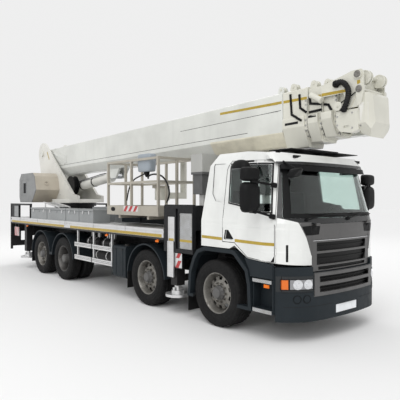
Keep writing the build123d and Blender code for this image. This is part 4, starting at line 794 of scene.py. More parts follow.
def build_tyres(node, body, hub_place, inward, width, count):
    """One tyre or a twin pair, with cross slots in the shoulders."""
    tyres = Piece(f"tyre_{node}", "tyre", body, smooth=50.0)
    profile = tyre_profile(width)
    for place in range(count):
        start = hub_place + inward * place * (width + TWIN_GAP)
        before = len(tyres.mesh.verts)
        tyres.turn(profile, start, inward, TYRE_STEPS)
        tyres.mesh.verts.ensure_lookup_table()
        for ring, (radius, along) in enumerate(profile):
            if radius < 0.505 or 0.18 * width < along < 0.82 * width:
                continue
            for k in range(0, TYRE_STEPS, 3):
                vertex = tyres.mesh.verts[before + ring * TYRE_STEPS + k]
                spoke = Vector((vertex.co.x - start.x, 0, vertex.co.z - start.z))
                vertex.co -= spoke.normalized() * 0.009
    caps = [face for face in tyres.mesh.faces if len(face.verts) > 8]
    bmesh.ops.delete(tyres.mesh, geom=caps, context="FACES_ONLY")
    tyres.done(node, slot="tyre")


def pierced_disc(rim, rings, hub_place, inward, holes):
    """Disc of two skins through rings of (radius, depth), with hand holes between its second and third ring."""
    steps = holes * 8
    rows = [[rim.mesh.verts.new(hub_place + inward * (along + depth) + circle(radius, 2 * pi * k / steps))
             for k in range(steps)] for depth in (0.0, 0.012) for radius, along in rings]
    open_steps = {k for k in range(steps) if k % 8 in (2, 3, 4, 5)}
    for k in range(steps):
        n = (k + 1) % steps
        for band_number in range(3):
            a, b, c, d = (rows[band_number + shift] for shift in (0, 1, 4, 5))
            if band_number == 1 and k in open_steps:
                rim.mesh.faces.new((a[k], a[n], c[n], c[k]))
                rim.mesh.faces.new((b[k], b[n], d[n], d[k]))
                for edge, other in ((k, (k - 1) % steps), (n, n)):
                    if other not in open_steps:
                        rim.mesh.faces.new((a[edge], b[edge], d[edge], c[edge]))
            else:
                rim.mesh.faces.new((a[k], a[n], b[n], b[k]))
                rim.mesh.faces.new((c[k], d[k], d[n], c[n]))


def build_rim(node, body, hub_place, inward, total, face_at, hump, number):
    """Barrel with its flanges, pierced disc, nut ring with nuts and studs, and the valve."""
    rim = Piece(f"rim_{node}", "rim" if number != TWIN_AXLE else "rim_dark", body, smooth=35.0)
    rim.turn([(0.302, LIP + 0.018), (0.318, LIP), (0.316, LIP - 0.007), (0.304, LIP - 0.004), (0.292, LIP + 0.012),
              (0.286, LIP + 0.05), (0.270, LIP + 0.08), (0.262, DISHES[number] + 0.10), (0.258, total - 0.09),
              (0.290, total - 0.05), (0.302, total - 0.058), (0.270, total * 0.55)], hub_place, inward, 64, closed=True)
    flat = face_at - hump
    rings = [(0.264, face_at + 0.020), (0.250, face_at - 0.004), (0.200, face_at - hump * 0.6), (0.178, flat)]
    pierced_disc(rim, rings, hub_place, inward, HOLES[number])
    rim.turn([(0.180, flat + 0.014), (0.178, flat), (0.166, flat - 0.004), (0.118, flat - 0.004),
              (0.118, flat + 0.014)], hub_place, inward, 48, closed=True)
    for k in range(NUTS):
        nut = hub_place + inward * (flat - 0.004) + circle(NUT_CIRCLE, 2 * pi * k / NUTS)
        rim.bolt(nut, -inward, 0.0165, 0.026)
        rim.turn([(0.008, 0.0), (0.007, 0.020)], nut - inward * 0.026, -inward, 8)
    valve = hub_place + inward * (face_at - 0.005) + circle(0.225, 0.31)
    rim.turn([(0.007, 0.0), (0.007, 0.035), (0.004, 0.04)], valve, -inward, 8)
    rim.done()


def build_hub(node, body, hub_place, inward, flat, twin):
    """Hub with its cap and the cap's bolts."""
    hub = Piece(f"hub_{node}", "hub", body, smooth=35.0)
    if twin:
        profile = [(0.118, flat + 0.02), (0.116, flat - 0.03), (0.104, 0.070), (0.100, 0.040), (0.092, 0.030),
                   (0.05, 0.026)]
    else:
        profile = [(0.118, flat + 0.02), (0.112, flat - 0.022), (0.088, flat - 0.046), (0.082, 0.018), (0.070, 0.008),
                   (0.03, 0.006)]
    hub.turn(profile, hub_place, inward, 40)
    radius, along = (0.080, 0.028) if twin else (0.098, flat - 0.036)
    for k in range(NUTS):
        hub.bolt(hub_place + inward * along + circle(radius, 2 * pi * (k + 0.5) / NUTS), -inward, 0.007, 0.007)
    hub.done()


for name, side in SIDES:
    for number in range(4):
        node = f"wheel_{number + 1}_{name}"
        body, twin = f"road_{node}", number == TWIN_AXLE
        centre = middle(node)
        hub_place = Vector((centre.x, node_box(node)[0 if side < 0 else 1].y, centre.z))
        width, count = (TWIN, 2) if twin else (SINGLE, 1)
        face_at, hump = 0.058 + DISHES[number], -0.020 if twin else 0.030
        build_tyres(node, body, hub_place, INWARD[side], width, count)
        total = count * width + (count - 1) * TWIN_GAP
        build_rim(node, body, hub_place, INWARD[side], total, face_at, hump, number)
        build_hub(node, body, hub_place, INWARD[side], face_at - hump, twin)

# ------------------------------------------------------------------ cab
DOOR_EDGE = [(0.180, 1.330), (0.180, 2.430), (0.250, 2.550), (1.030, 2.520), (1.085, 2.470), (1.160, 1.720),
             (1.160, 1.100), (0.705, 1.140), (0.480, 1.300), (0.440, 1.330)]
DOOR_WINDOW = [(0.300, 1.930), (0.272, 2.490), (1.005, 2.465), (1.085, 1.800), (0.740, 1.800), (0.520, 1.895)]
MIRRORS = (((0.155, 0.207), 2.000), ((0.148, 0.096), 2.312))      # half width and height, and height above ground
MIRROR_OUT = 1.478


def build_mirrors(name, side, body):
    """Two housings on one arm, the dish over the kerb, and their glasses."""
    shell = Piece(f"mirror_shells_{name}", "black", body, smooth=45.0)
    panes = Piece(f"mirror_glass_{name}", "mirror", body, smooth=45.0)
    shell_layers = ((0.955, 0.93), (0.960, 0.99), (0.975, 1.0), (1.030, 0.97), (1.065, 0.86), (1.080, 0.62),
                    (1.085, 0.30))
    pane_layers = ((0.9565, 0.88), (0.9530, 0.88), (0.9525, 0.84))
    for (half_y, half_z), z in MIRRORS:
        for piece, layers in ((shell, shell_layers), (panes, pane_layers)):
            piece.loft([oval(at(x, side * MIRROR_OUT, z), (0, half_y * k, 0), (0, 0, half_z * k), 4.5)
                        for x, k in layers])
    for start, end in (((1.040, 1.400, 2.208), (1.130, 1.120, 2.165)), ((1.035, 1.430, 1.815), (1.150, 1.180, 1.735))):
        first, last = at(start[0], side * start[1], start[2]), at(end[0], side * end[1], end[2])
        shell.rod(first, last, 0.016, 20)
        shell.turn([(0.030, -0.03), (0.034, -0.02), (0.034, 0.03), (0.026, 0.04)], first, last - first, 20)
        shell.turn([(0.030, -0.05), (0.036, -0.04), (0.036, 0.02), (0.028, 0.03)], last, last - first, 20)
    shell.rod(at(1.035, side * 1.46, 2.195), at(1.035, side * 1.46, 2.225), 0.035, 20)
    kerb_layers = ((2.402, 0.90), (2.408, 1.0), (2.440, 0.98), (2.480, 0.86), (2.515, 0.62), (2.530, 0.30))
    for piece, half_x, half_y, layers in ((shell, 0.160, 0.095, kerb_layers),
                                          (panes, 0.140, 0.080, ((2.4025, 1.0), (2.399, 0.96)))):
        piece.loft([oval(at(0.700, side * 1.345, z), (half_x * k, 0, 0), (0, half_y * k, 0), 2.4) for z, k in layers])
    shell.rod(at(0.735, side * 1.340, 2.505), at(0.765, side * 1.150, 2.520), 0.014, 16)
    shell.done(f"mirrors_{name}", slot="black_plastic")
    panes.done()


for name, side in SIDES:
    door, door_body = f"door_{name}", f"cab_door_{name}"
    inward = INWARD[side]
    side_laid(f"cab_tape_{name}", "yellow", "truck", "cab_shell", side,
              [[(-0.298, 1.363), (0.172, 1.353), (0.172, 1.397), (-0.298, 1.407)]], 8)
    side_laid(f"door_tape_{name}", "yellow", door_body, door, side,
              [[(0.450, 1.346), (1.150, 1.331), (1.150, 1.375), (0.450, 1.390)]], 14)
    side_laid(f"window_seal_{name}", "black", door_body, door, side, band(DOOR_WINDOW, 0.003, 0.024), 8, 1, 0.004)
    handle = Piece(f"door_handle_{name}", "black", door_body, bevel=0.004)
    grip = [(0.228, 1.380), (0.405, 1.380), (0.300, 1.512), (0.250, 1.512)]
    handle.patch(door, side_quad(side, grip), inward, 4, 4, 0.003)
    lever = [(0.296, 1.516), (0.312, 1.516), (0.424, 1.386), (0.398, 1.386)]
    handle.prism(side_quad(side, lever, 1.199), -inward * 0.022).done()
    build_mirrors(name, side, door_body)
    # flank of the grille beside the lid, and the dark corner insets
    wing_quads = ([(0.726, 1.20), (0.726, 1.44), (0.812, 1.44), (0.732, 1.20)],
                  [(0.726, 1.44), (0.726, 1.655), (0.925, 1.655), (0.812, 1.44)])
    front_laid(f"grille_wing_{name}", "grille", "truck", "cab_shell", side, wing_quads, 4, 4, 0.004)
    front_laid(f"corner_inset_{name}", "black", "truck", "cab_shell", side,
               [[(0.728, 1.478), (0.822, 1.478), (0.880, 1.600), (0.728, 1.612)]], 6, 3, 0.007)
    front_laid(f"lid_inset_{name}", "black", "front_lid", "front_panel", side,
               [[(0.585, 1.484), (0.716, 1.478), (0.716, 1.612), (0.560, 1.600)]], 4, 3, 0.004)
    front_laid(f"corner_slot_{name}", "black", "truck", "cab_shell", side,
               [rect(1.040, 1.062, 1.120, 1.350)], 1, 5, 0.003)
    # painted shade: a dark line along the door's edge stands in for the gap around it
    side_laid(f"door_gap_shade_{name}", "shadow", door_body, door, side, band(DOOR_EDGE, -0.010, -0.004), 6, 1, 0.0012)
    front_laid(f"screen_edge_{name}", "black", "truck", "windscreen", side,
               [[(0.985, 1.716), (1.072, 1.716), (0.949, 2.420), (0.895, 2.420)]], 4, 10, 0.003)
    # steps
    tread = Piece(f"step_treads_{name}", "plate", "truck")
    for z0, z1 in ((0.402, 0.453), (0.817, 0.864)):
        tread.patch("bumper", side_quad(side, rect(0.812, 1.162, z0, z1)), inward, 2, 1, 0.006)
        top = [at(x, side * y, z1 + 0.3) for x, y in rect(0.812, 1.162, 1.214, 1.050)]
        tread.patch("bumper", top, DOWN, 2, 2, 0.004)
    tread.done()
    boxes(f"side_marker_{name}", "orange", "truck", side, [(1.010, 1.104, 1.196, 1.214, 0.752, 0.800)], 0.004).done()
    # lamps
    bowls = Piece(f"headlamp_bowls_{name}", "chrome", "truck", smooth=30.0)
    for y, radius in ((0.945, 0.068), (0.812, 0.066)):
        place, normal = skin_point("lamps", at(FRONT_X, side * y, 0.812), BACK)
        bowls.turn([(radius, -0.002), (radius, 0.006), (radius * 0.92, 0.008), (radius * 0.62, 0.002),
                    (radius * 0.45, 0.003), (radius * 0.42, 0.008), (radius * 0.2, 0.010)], place, normal, 32)
    bowls.done()
    bezel = Piece(f"headlamp_bezel_{name}", "black", "truck")
    for y0, y1, z0, z1, across in ((0.700, 1.124, 0.738, 0.746, 10), (0.700, 1.124, 0.877, 0.885, 10),
                                   (0.700, 0.708, 0.738, 0.885, 2), (1.116, 1.124, 0.738, 0.885, 2),
                                   (1.032, 1.048, 0.738, 0.885, 2)):
        bezel.patch("lamps", front_quad(side, rect(y0, y1, z0, z1), 1.7), BACK, across, 1, 0.006)
    bezel.done()
    # painted shade: dark lines along the bumper's pressed creases
    crease_shade_lines = ((0.33, 1.10, 0.505), (0.76, 1.12, 0.700), (0.76, 1.12, 0.925))
    crease_shade_quads = [rect(y0, y1, z, z + 0.006) for y0, y1, z in crease_shade_lines]
    front_laid(f"bumper_crease_shade_{name}", "shadow", "truck", "bumper", side, crease_shade_quads, 16, 1, 0.0014, x=1.7)
    fog = Piece(f"fog_lamps_{name}", "slate", "truck", smooth=30.0)
    ring = Piece(f"fog_rings_{name}", "black", "truck", smooth=30.0)
    for y in (0.955, 0.830):
        place, normal = skin_point("bumper", at(FRONT_X, side * y, 0.612), BACK)
        ring.turn([(0.058, -0.001), (0.058, 0.003), (0.052, 0.004), (0.050, -0.001)], place, normal, 28, closed=True)
        fog.turn([(0.048, -0.001), (0.046, 0.002), (0.020, 0.003)], place, normal, 28)
    ring.done()
    fog.done()

# black bands on the windscreen: along its foot the black edge over the cowl, and along its top a painted shadow of the
# visor
front_laid("screen_frit_and_visor_shade", "black", "truck", "windscreen", LEFT,
           [[(-1.070, 1.716), (1.070, 1.716), (1.062, 1.775), (-1.062, 1.775)],
            [(-0.950, 2.385), (0.950, 2.385), (0.945, 2.425), (-0.945, 2.425)]], 28, 1, 0.003)


def wiper(name, pivot, tip, blade_start, blade_end):
    """Arm from its spindle to the middle of a blade that lies on the glass; places are (y, z) pairs."""
    piece = Piece(name, "black", "truck", smooth=50.0)
    skins = ("windscreen", "cab_shell")
    for start, end, lift, radius in ((pivot, tip, 0.034, 0.009), (blade_start, blade_end, 0.015, 0.008)):
        places = []
        for step in range(7):
            y, z = Vector(start).lerp(Vector(end), step / 6)
            place, normal = skin_point(skins, at(FRONT_X, y, z), BACK)
            places.append(place + normal * lift)
        for a, b in zip(places, places[1:]):
            piece.rod(a, b, radius, 10)
    place, normal = skin_point(skins, at(FRONT_X, *pivot), BACK)
    piece.turn([(0.026, 0.0), (0.022, 0.030), (0.012, 0.042)], place, normal, 16).done()


wiper("wiper_right", (-0.80, 1.690), (-0.30, 1.760), (-0.72, 1.765), (0.02, 1.745))
wiper("wiper_left", (0.10, 1.690), (0.55, 1.762), (0.20, 1.762), (0.88, 1.742))
boxes("number_plate", "blank", "truck", LEFT, [(1.526, 1.532, -0.26, 0.26, 0.357, 0.473)], 0.002).done()
front_mirror = Piece("front_mirror", "black", "truck", smooth=45.0)
front_mirror.loft([oval(at(x, -1.06, 2.325), (0, 0.125 * k, 0.02), (0.02, 0, 0.062 * k))
                   for x, k in ((1.405, 0.90), (1.415, 1.0), (1.450, 0.96), (1.475, 0.80), (1.485, 0.40))])
front_mirror.rod(at(1.43, -1.02, 2.37), skin_point("cab_shell", at(1.7, -0.98, 2.50), BACK)[0], 0.013)
front_mirror.done()
brow_lamps = Piece("brow_lamps", "black", "truck", bevel=0.004)
for y in (-0.76, 0.76):
    place, _ = skin_point("cab_shell", at(1.7, y, 2.572), BACK)
    brow_lamps.box(place - Vector((0.02, 0.075, 0.020)), place + Vector((0.012, 0.075, 0.020)))
brow_lamps.done()
front_laid("lid_trim", "chrome", "front_lid", "front_panel", LEFT, [rect(-0.705, 0.705, 1.396, 1.402)], 20, 1, 0.004)

# ------------------------------------------------------------------ boom
STRIPE_HALF = 0.021
STRIPE = (("boom_base", "boom", -0.89, 0.555), ("boom_section_1", "boom_stage_1", 0.585, 1.035),
          ("boom_section_2", "boom_stage_2", 1.060, 1.275), ("boom_head", "boom_stage_4", 1.300, 1.715))
SECTION_EDGES = ((1, "a", [(0.726, 3.605), (0.752, 3.285), (0.955, 3.165)]),
                 (1, "b", [(0.899, 3.575), (0.916, 3.364), (1.030, 3.282)]),
                 (2, "a", [(1.068, 3.562), (1.085, 3.408), (1.270, 3.374)]),
                 (2, "b", [(1.062, 3.281), (1.275, 3.290)]),
                 (3, "a", [(1.305, 3.366), (1.382, 3.350), (1.435, 3.262)]))
SECTION_SLOT_SHADES = ((1, 0.629, 0.886, 3.122), (2, 1.072, 1.215, 3.186))
SECTION_JOINT_SHADES = ((1, 1.036), (2, 1.277), (3, 1.517))
SECTION_BOLTS = ((1, 1.012), (2, 1.262), (3, 1.500))
BOLT_HEIGHTS = (2.93, 3.01, 3.09, 3.17, 3.40, 3.46)


def stripe_z(x):
    """Middle of the yellow stripe along the boom."""
    return 3.527 - (x + 0.89) * 0.0145


def section_laid(number, ending, finish, side, quads, *shape):
    """Patches on the side of one telescoping section; the piece's name is the section's and the ending."""
    node = f"boom_section_{number}"
    side_laid(f"{node}_{ending}", finish, f"boom_stage_{number}", node, side, quads, *shape, out=BOOM_Y)


for name, side in SIDES:
    for node, body, x0, x1 in STRIPE:
        z0, z1 = stripe_z(x0), stripe_z(x1)
        ends = [(x0, z0 - STRIPE_HALF), (x1, z1 - STRIPE_HALF), (x1, z1 + STRIPE_HALF), (x0, z0 + STRIPE_HALF)]
        side_laid(f"{node}_tape_{name}", "yellow", body, node, side, [ends], 6, out=BOOM_Y)
    seam = Piece(f"boom_seam_{name}", "shadow", "boom")
    for quad, across in (([(-2.07, 3.336), (0.54, 3.378), (0.54, 3.385), (-2.07, 3.343)], 8),
                         ([(-8.10, 2.975), (-0.2, 3.098), (-0.2, 3.106), (-8.10, 2.983)], 12)):
        seam.patch("boom_base", side_quad(side, quad, BOOM_Y), INWARD[side], across, 1, 0.0012)
    seam.done()
    for number, letter, points in SECTION_EDGES:
        section_laid(number, f"strip_{letter}_{name}", "black", side, line_band(points, 0.017), 5, 1, 0.014, 0.001)
    # painted shade: dark patches inside the collars' slots
    for number, x0, x1, z0 in SECTION_SLOT_SHADES:
        slot_quad = [(x0, z0), (x1, z0 + 0.005), (x1, z0 + 0.043), (x0, z0 + 0.038)]
        section_laid(number, f"slot_{name}", "shadow", side, [slot_quad], 4, 1, 0.001)
    # painted shade: thin dark bands at each section's front edge, in the gap where it meets the next
    for number, x in SECTION_JOINT_SHADES:
        section_laid(number, f"joint_{name}", "shadow", side, [rect(x, x + 0.009, 2.90, 3.48)], 1, 20, 0.0015)
    for number, x in SECTION_BOLTS:
        node = f"boom_section_{number}"
        places = [(x, z) for z in BOLT_HEIGHTS]
        boom_bolts(f"{node}_bolts_{name}", f"boom_stage_{number}", node, side, places, 0.011, 0.010)
    boom_bolts(f"boom_foot_bolts_{name}", "boom", "boom_base", side,
               [(-8.45, 3.39), (-8.25, 3.33), (-8.05, 3.265), (-7.85, 3.20), (-7.65, 3.14)], 0.012, 0.010)

for name, side in SIDES:
    ribs = Piece(f"boom_foot_ribs_{name}", "boom", "boom", smooth=30.0)
    for drop in (0.0, 0.085, 0.170):
        for quad in line_band([(-8.38 + drop * 0.5, 3.560 - drop), (-7.45 + drop * 0.2, 3.215 - drop)], 0.028):
            ribs.patch("boom_base", side_quad(side, quad, BOOM_Y), INWARD[side], 8, 2, 0.007)
    ribs.done()
    side_laid(f"cheek_tape_{name}", "yellow", "superstructure", "turret", side,
              line_band([(-8.560, 3.425), (-8.400, 3.190)], 0.022), 2, 3, out=0.9)

side_laid("boom_head_tapes", "yellow", "boom_stage_4", "boom_head", RIGHT,
          line_band([(1.898, 3.600), (1.902, 3.548)], 0.024) + line_band([(1.880, 3.390), (1.800, 3.232)], 0.022),
          1, 2, out=BOOM_Y)
OUT_RIGHT = -INWARD[RIGHT]
sheave = Piece("boom_sheave", "cream", "boom_stage_4", smooth=30.0)
sheave.turn([(0.018, 0.0), (0.062, 0.0), (0.064, 0.006), (0.050, 0.014), (0.064, 0.022), (0.062, 0.028), (0.026, 0.028),
             (0.020, 0.034)], at(1.589, -0.285, 3.285), OUT_RIGHT, 36)
sheave.bolt(at(1.589, -0.318, 3.285), OUT_RIGHT, 0.012, 0.010).done()
head_pins = Piece("boom_head_pins", "rim", "boom_stage_4", smooth=30.0)
for along, above in ((10.800, 0.108), (10.822, -0.098)):
    place = on_boom(along, -0.3185, above)
    head_pins.turn([(0.050, -0.002), (0.050, 0.004), (0.044, 0.007), (0.016, 0.007), (0.014, 0.011)],
                   place, OUT_RIGHT, 32)
    for k in range(4):
        head_pins.bolt(place + circle(0.034, k * pi / 2 + 0.4) + OUT_RIGHT * 0.007, OUT_RIGHT, 0.006, 0.005)
head_pins.done()
telescope_ram = Piece("telescope_ram", "cream", "boom_stage_3", smooth=30.0)
ram_start, ram_end = at(1.135, -0.325, 3.520), at(1.350, -0.325, 3.395)
telescope_ram.turn([(0.030, 0.0), (0.044, 0.006), (0.044, 0.200), (0.050, 0.204), (0.050, 0.226), (0.034, 0.232)],
                   ram_start, ram_end - ram_start, 28)
telescope_ram.box(at(1.215, -0.325, 3.425), at(1.255, -0.205, 3.455)).done()
tube("head_conduit", "hose", "boom_stage_4",
     [at(*place) for place in ((1.560, -0.300, 3.600), (1.600, -0.325, 3.622), (1.700, -0.335, 3.600),
                               (1.775, -0.335, 3.500), (1.775, -0.335, 3.390), (1.735, -0.333, 3.290),
                               (1.690, -0.315, 3.225), (1.680, -0.300, 3.200))], 0.042, ribs=0.026)
glands = Piece("conduit_glands", "black", "boom_stage_4", smooth=30.0)
glands.turn([(0.050, 0.0), (0.054, 0.01), (0.054, 0.045), (0.046, 0.055)],
            at(1.545, -0.286, 3.592), (0.55, -0.60, 0.45), 24)
glands.turn([(0.056, 0.0), (0.056, 0.014), (0.046, 0.030)], at(1.678, -0.296, 3.218), (-0.1, -0.15, 0.9), 24).done()
tube("head_line", "hose", "boom_stage_4",
     [at(x, -0.300, z) for x, z in ((1.640, 3.330), (1.700, 3.360), (1.860, 3.430), (1.900, 3.470))], 0.008)
boom_bolts("boom_head_bolts", "boom_stage_4", "boom_head", RIGHT,
           [(1.565, 3.14), (1.565, 3.02), (1.80, 3.17), (1.80, 2.96), (1.915, 3.20), (1.915, 2.98)], 0.010, 0.009)
side_laid("boom_head_panel", "turret", "boom_stage_4", "boom_head", RIGHT, [rect(1.925, 2.025, 3.045, 3.285)],
          1, 1, 0.004, out=BOOM_Y)
for index, along, body in ((0, 9.390, "boom"), (1, 9.640, "boom_stage_1"), (2, 10.020, "boom_stage_2"),
                           (3, 10.260, "boom_stage_3")):
    axle = 0.110 - (index * 0.026 - 0.024 if index else 0.0) + 0.066
    rollers = Piece(f"guide_rollers_{index}", "cream", body, smooth=30.0)
    for side in (RIGHT, LEFT):
        for y in (0.150, 0.185):
            rollers.turn([(0.046, 0.0), (0.050, 0.004), (0.038, 0.012), (0.050, 0.020), (0.046, 0.024)],
                         on_boom(along, side * y - 0.012, axle), (0, 1, 0), 24)
        rollers.bolt(on_boom(along, side * 0.224, axle), (0, side, 0), 0.016, 0.012)
    rollers.done()
boxes("roof_rest_pad", "black", "truck", LEFT, [(0.80, 1.16, -0.36, 0.36, 2.6945, 2.716)], 0.008).done()

# ------------------------------------------------------------------ deck, boxes and guards
LOCKERS = ((-7.700, -6.580), (-6.560, -5.425), (-5.405, -4.700), (-4.690, -3.990))
for name, side in SIDES:
    side_laid(f"deck_tapes_{name}", "yellow", "truck", "deck", side,
              [rect(-9.25, -5.50, 1.300, 1.354), rect(-5.15, -1.40, 1.300, 1.354)], 10)
    side_laid(f"deck_seams_{name}", "shadow", "truck", "deck", side,
              [rect(x, x + 0.006, 1.265, 1.445) for x in (-8.55, -7.20, -5.45, -3.98, -2.64)], 1, 6, 0.0012)
    latches = []
    for x in [x for x0, x1 in LOCKERS for x in (x0 + 0.20, x1 - 0.20)]:
        latches.append((x - 0.020, x + 0.020, 1.209, 1.226, 1.640, 1.712))
        latches.append((x - 0.012, x + 0.012, 1.226, 1.232, 1.650, 1.690))
    boxes(f"locker_latches_{name}", "alu", "truck", side, latches, 0.003).done()
    side_laid(f"locker_seams_{name}", "shadow", "truck", "deck_boxes", side,
              [rect(x0 + 0.03, x1 - 0.03, 1.700, 1.706) for x0, x1 in LOCKERS], 2, 1, 0.0012)
    grooves = Piece(f"guard_rail_grooves_{name}", "shadow", "truck")
    for x0, x1, z0, z1, proud in ((-4.90, -3.17, 0.925, 0.931, 0.0012), (-4.90, -3.17, 0.950, 0.956, 0.0012),
                                  (-4.90, -3.17, 0.628, 0.634, 0.0012), (-4.90, -3.17, 0.656, 0.662, 0.0012),
                                  (-4.075, -4.045, 0.593, 0.691, 0.0014), (-4.075, -4.045, 0.891, 0.984, 0.0014)):
        grooves.patch("side_guards", side_quad(side, rect(x0, x1, z0, z1)), INWARD[side], 1, 1, proud)
    grooves.done()
    tank = Piece(f"tank_fittings_{name}", "iron", "truck", bevel=0.004)
    tank.turn([(0.045, 0.0), (0.052, 0.006), (0.052, 0.030), (0.040, 0.040)], at(-2.72, side * 1.12, 1.0385), UP, 28)
    for x in (-3.020, -2.760):
        tank.bolt(at(x, side * 1.2155, 0.970), (0, side, 0))
    tank.done()
    markers = []
    for x in (-8.00, -3.40, -1.55):
        markers.append((x - 0.05, x + 0.05, 1.212, 1.2195, 1.205, 1.240))
        markers.append((x - 0.012, x + 0.012, 1.175, 1.213, 1.222, 1.262))
    boxes(f"deck_markers_{name}", "orange", "truck", side, markers, 0.004).done()


def slanted_board(name, body, node, corner, right, up, toward):
    """White reflective board with one slanting red bar that comes in again at the other edge."""
    def place(u, v):
        return corner + right * min(1.0, max(0.0, u)) + up * v
    ground = [place(u, v) for u, v in rect(0, 1, 0, 1)]
    laid(f"{name}_ground", "white_tape", body, node, [ground], toward, 4, 4, 0.0015)
    slope, half, steps = 0.9, 0.5, 6
    quads = []
    for v0, v1 in [(step / steps, (step + 1) / steps) for step in range(steps)]:
        corners = [(slope * v0, v0), (half + slope * v0, v0), (half + slope * v1, v1), (slope * v1, v1)]
        corners = [(u if u < 1.0001 else u - 1.0, v) for u, v in corners]
        if max(corners)[0] - min(corners)[0] <= 0.8:
            quads.append([place(u, v) for u, v in corners])
    laid(f"{name}_bars", "red_tape", body, node, quads, toward, 1, 1, 0.003)


VENT = rect(-8.62, -8.42, 2.16, 2.46)
FLAPS = ((-0.660, 0.140, 0.450), (-2.572, 0.240, 0.600), (-7.640, 0.260, 0.620))      # x, lower and upper edge
for name, side in SIDES:
    flaps = Piece(f"mudflaps_{name}", "hose", "truck", bevel=0.003)
    for x, low, high in FLAPS:
        flaps.box(at(x - 0.007, side * 0.865, low), at(x + 0.007, side * 1.205, high))
        flaps.box(at(x - 0.012, side * 0.865, high - 0.045), at(x + 0.012, side * 1.205, high - 0.012))
        for y in (0.92, 1.035, 1.15):
            flaps.bolt(at(x + 0.012, side * y, high - 0.028), (1, 0, 0), 0.009, 0.007)
    flaps.done()
    node, body = f"outrigger_front_{name}", f"beam_front_{name}"
    leg = boxes(f"outrigger_leg_{name}", "alu", body, side,
                [(-1.182, -1.008, 1.2405, 1.2455, 0.640, 1.256), (-1.182, -1.172, 1.2285, 1.2555, 0.640, 1.256),
                 (-1.018, -1.008, 1.2285, 1.2555, 0.640, 1.256)], 0.003)
    for z in (0.72, 0.98, 1.20):
        leg.bolt(at(-1.095, side * 1.2455, z), (0, side, 0), 0.009, 0.006)
    leg.done()
    if side == RIGHT:
        side_laid("cabinet_vent_frame", "locker", "superstructure", "turret_cabinet", side,
                  band(VENT, 0.0, 0.022), 1, 1, 0.006)
        side_laid("cabinet_vent", "shadow", "superstructure", "turret_cabinet", side, [VENT])
    # marker board hung below the deck's end
    boxes(f"tail_board_{name}", "white_tape", "truck", side,
          [(-9.060, -8.690, 1.196, 1.204, 0.900, 1.160)], 0.002).done()
    boxes(f"tail_board_hangers_{name}", "iron", "truck", side,
          [(x - 0.020, x + 0.020, 1.186, 1.196, 0.930, 1.2605) for x in (-9.010, -8.740)], 0.002).done()
    bars = Piece(f"tail_board_bars_{name}", "red_tape", "truck")
    for x in (-9.060, -8.937, -8.813):
        slanted = [(x, 0.902), (x + 0.062, 0.902), (x + 0.122, 1.158), (x + 0.060, 1.158)]
        bars.prism(side_quad(side, slanted, 1.204), -INWARD[side] * 0.002)
    bars.done()
    side_laid(f"rack_panel_{name}", "locker", "truck", "rear_rack", side, [rect(-9.05, -8.69, 1.47, 1.79)], 1, 1, 0.003)
    # outrigger cover
    boxes(f"outrigger_channel_{name}", "alu", body, side,
          [(-1.185, -1.005, 1.2225, 1.2265, 1.255, 1.675), (-1.185, -1.172, 1.2225, 1.2375, 1.255, 1.675),
           (-1.018, -1.005, 1.2225, 1.2375, 1.255, 1.675)], 0.002).done()
    boxes(f"outrigger_plate_{name}", "plate", body, side,
          [(-0.865, -0.533, 1.2245, 1.2285, 1.145, 1.740)], 0.002).done()
    bolts = Piece(f"outrigger_bolts_{name}", "bolt", body)
    for x in (-0.845, -0.553):
        for z in (1.165, 1.350, 1.540, 1.720):
            bolts.bolt(at(x, side * 1.2285, z), (0, side, 0), 0.010, 0.006)
    bolts.done()
    boxes(f"outrigger_tape_{name}", "yellow", body, side,
          [(x0, x1, 1.2265, 1.2295, 1.262, 1.302) for x0, x1 in ((-1.170, -1.020), (-0.860, -0.540))]).done()
    slanted_board(f"outrigger_board_{name}", body, node, at(-0.995, side * SIDE_Y, 0.815), Vector((0.180, 0, 0)),
                  UP * 0.245, INWARD[side])

# ------------------------------------------------------------------ work cage
SIGN_Z = (1.735, 1.845)                       # lower and upper edge of the cage's tapes


def cage_laid(name, finish, quads, *shape):
    """Patches of (x, z) corners on the cage's right-hand side."""
    side_laid(name, finish, "work_cage", "cage", RIGHT, quads, *shape)


cage_laid("cage_chevron_ground", "white_tape", [rect(-2.90, -2.36, *SIGN_Z)], 1, 1, 0.0015)
cage_laid("cage_chevrons", "red_tape",
          [[(x0, SIGN_Z[0]), (x1, SIGN_Z[0]), (x2, SIGN_Z[1]), (x2 - 0.09, SIGN_Z[1])]
           for x0, x1, x2 in ((-2.90, -2.80, -2.72), (-2.72, -2.63, -2.54), (-2.54, -2.45, -2.36))], 1, 1, 0.003)
cage_laid("cage_tag", "yellow", [rect(-1.66, -1.47, *SIGN_Z)], 1, 1, 0.003)
hand_hole = Piece("cage_hand_hole", "shadow", "work_cage")
place, normal = skin_point("cage", at(-3.32, -1.6, 1.775), INWARD[RIGHT])
hand_hole.loft([oval(place + normal * out, (0.085 * k, 0, 0), (0, 0, 0.042 * k), 2.6)
                for out, k in ((-0.002, 1.0), (0.0025, 1.0), (0.003, 0.9))]).done()
low, high = node_box("cage_console")
console_middle, console_half = (low + high) / 2, (high - low) / 2
console = Piece("console_box", "console", "work_cage", smooth=45.0)
console.loft([oval(console_middle + Vector((0, 0, console_half.z * level)), (console_half.x * k, 0, 0),
                   (0, console_half.y * k, 0), 5.0)
              for level, k in ((-0.98, 0.80), (-0.90, 0.90), (-0.30, 0.96), (0.55, 1.0), (0.85, 0.97), (0.97, 0.86))])
console.done("cage_console", slot="grey_paint")
sticks = Piece("console_levers", "black", "work_cage", smooth=45.0)
for share in (-0.5, 0.0, 0.5):
    foot = console_middle + Vector((console_half.x * share, 0.0, console_half.z * 0.86))
    sticks.turn([(0.026, 0.0), (0.020, 0.020), (0.008, 0.026), (0.008, console_half.z * 0.10)], foot, UP, 18)
gland_foot = console_middle - Vector((0, 0, console_half.z * 0.98))
sticks.turn([(0.060, 0.0), (0.048, 0.06), (0.030, 0.10)], gland_foot, (0.15, 0, -1), 20).done()
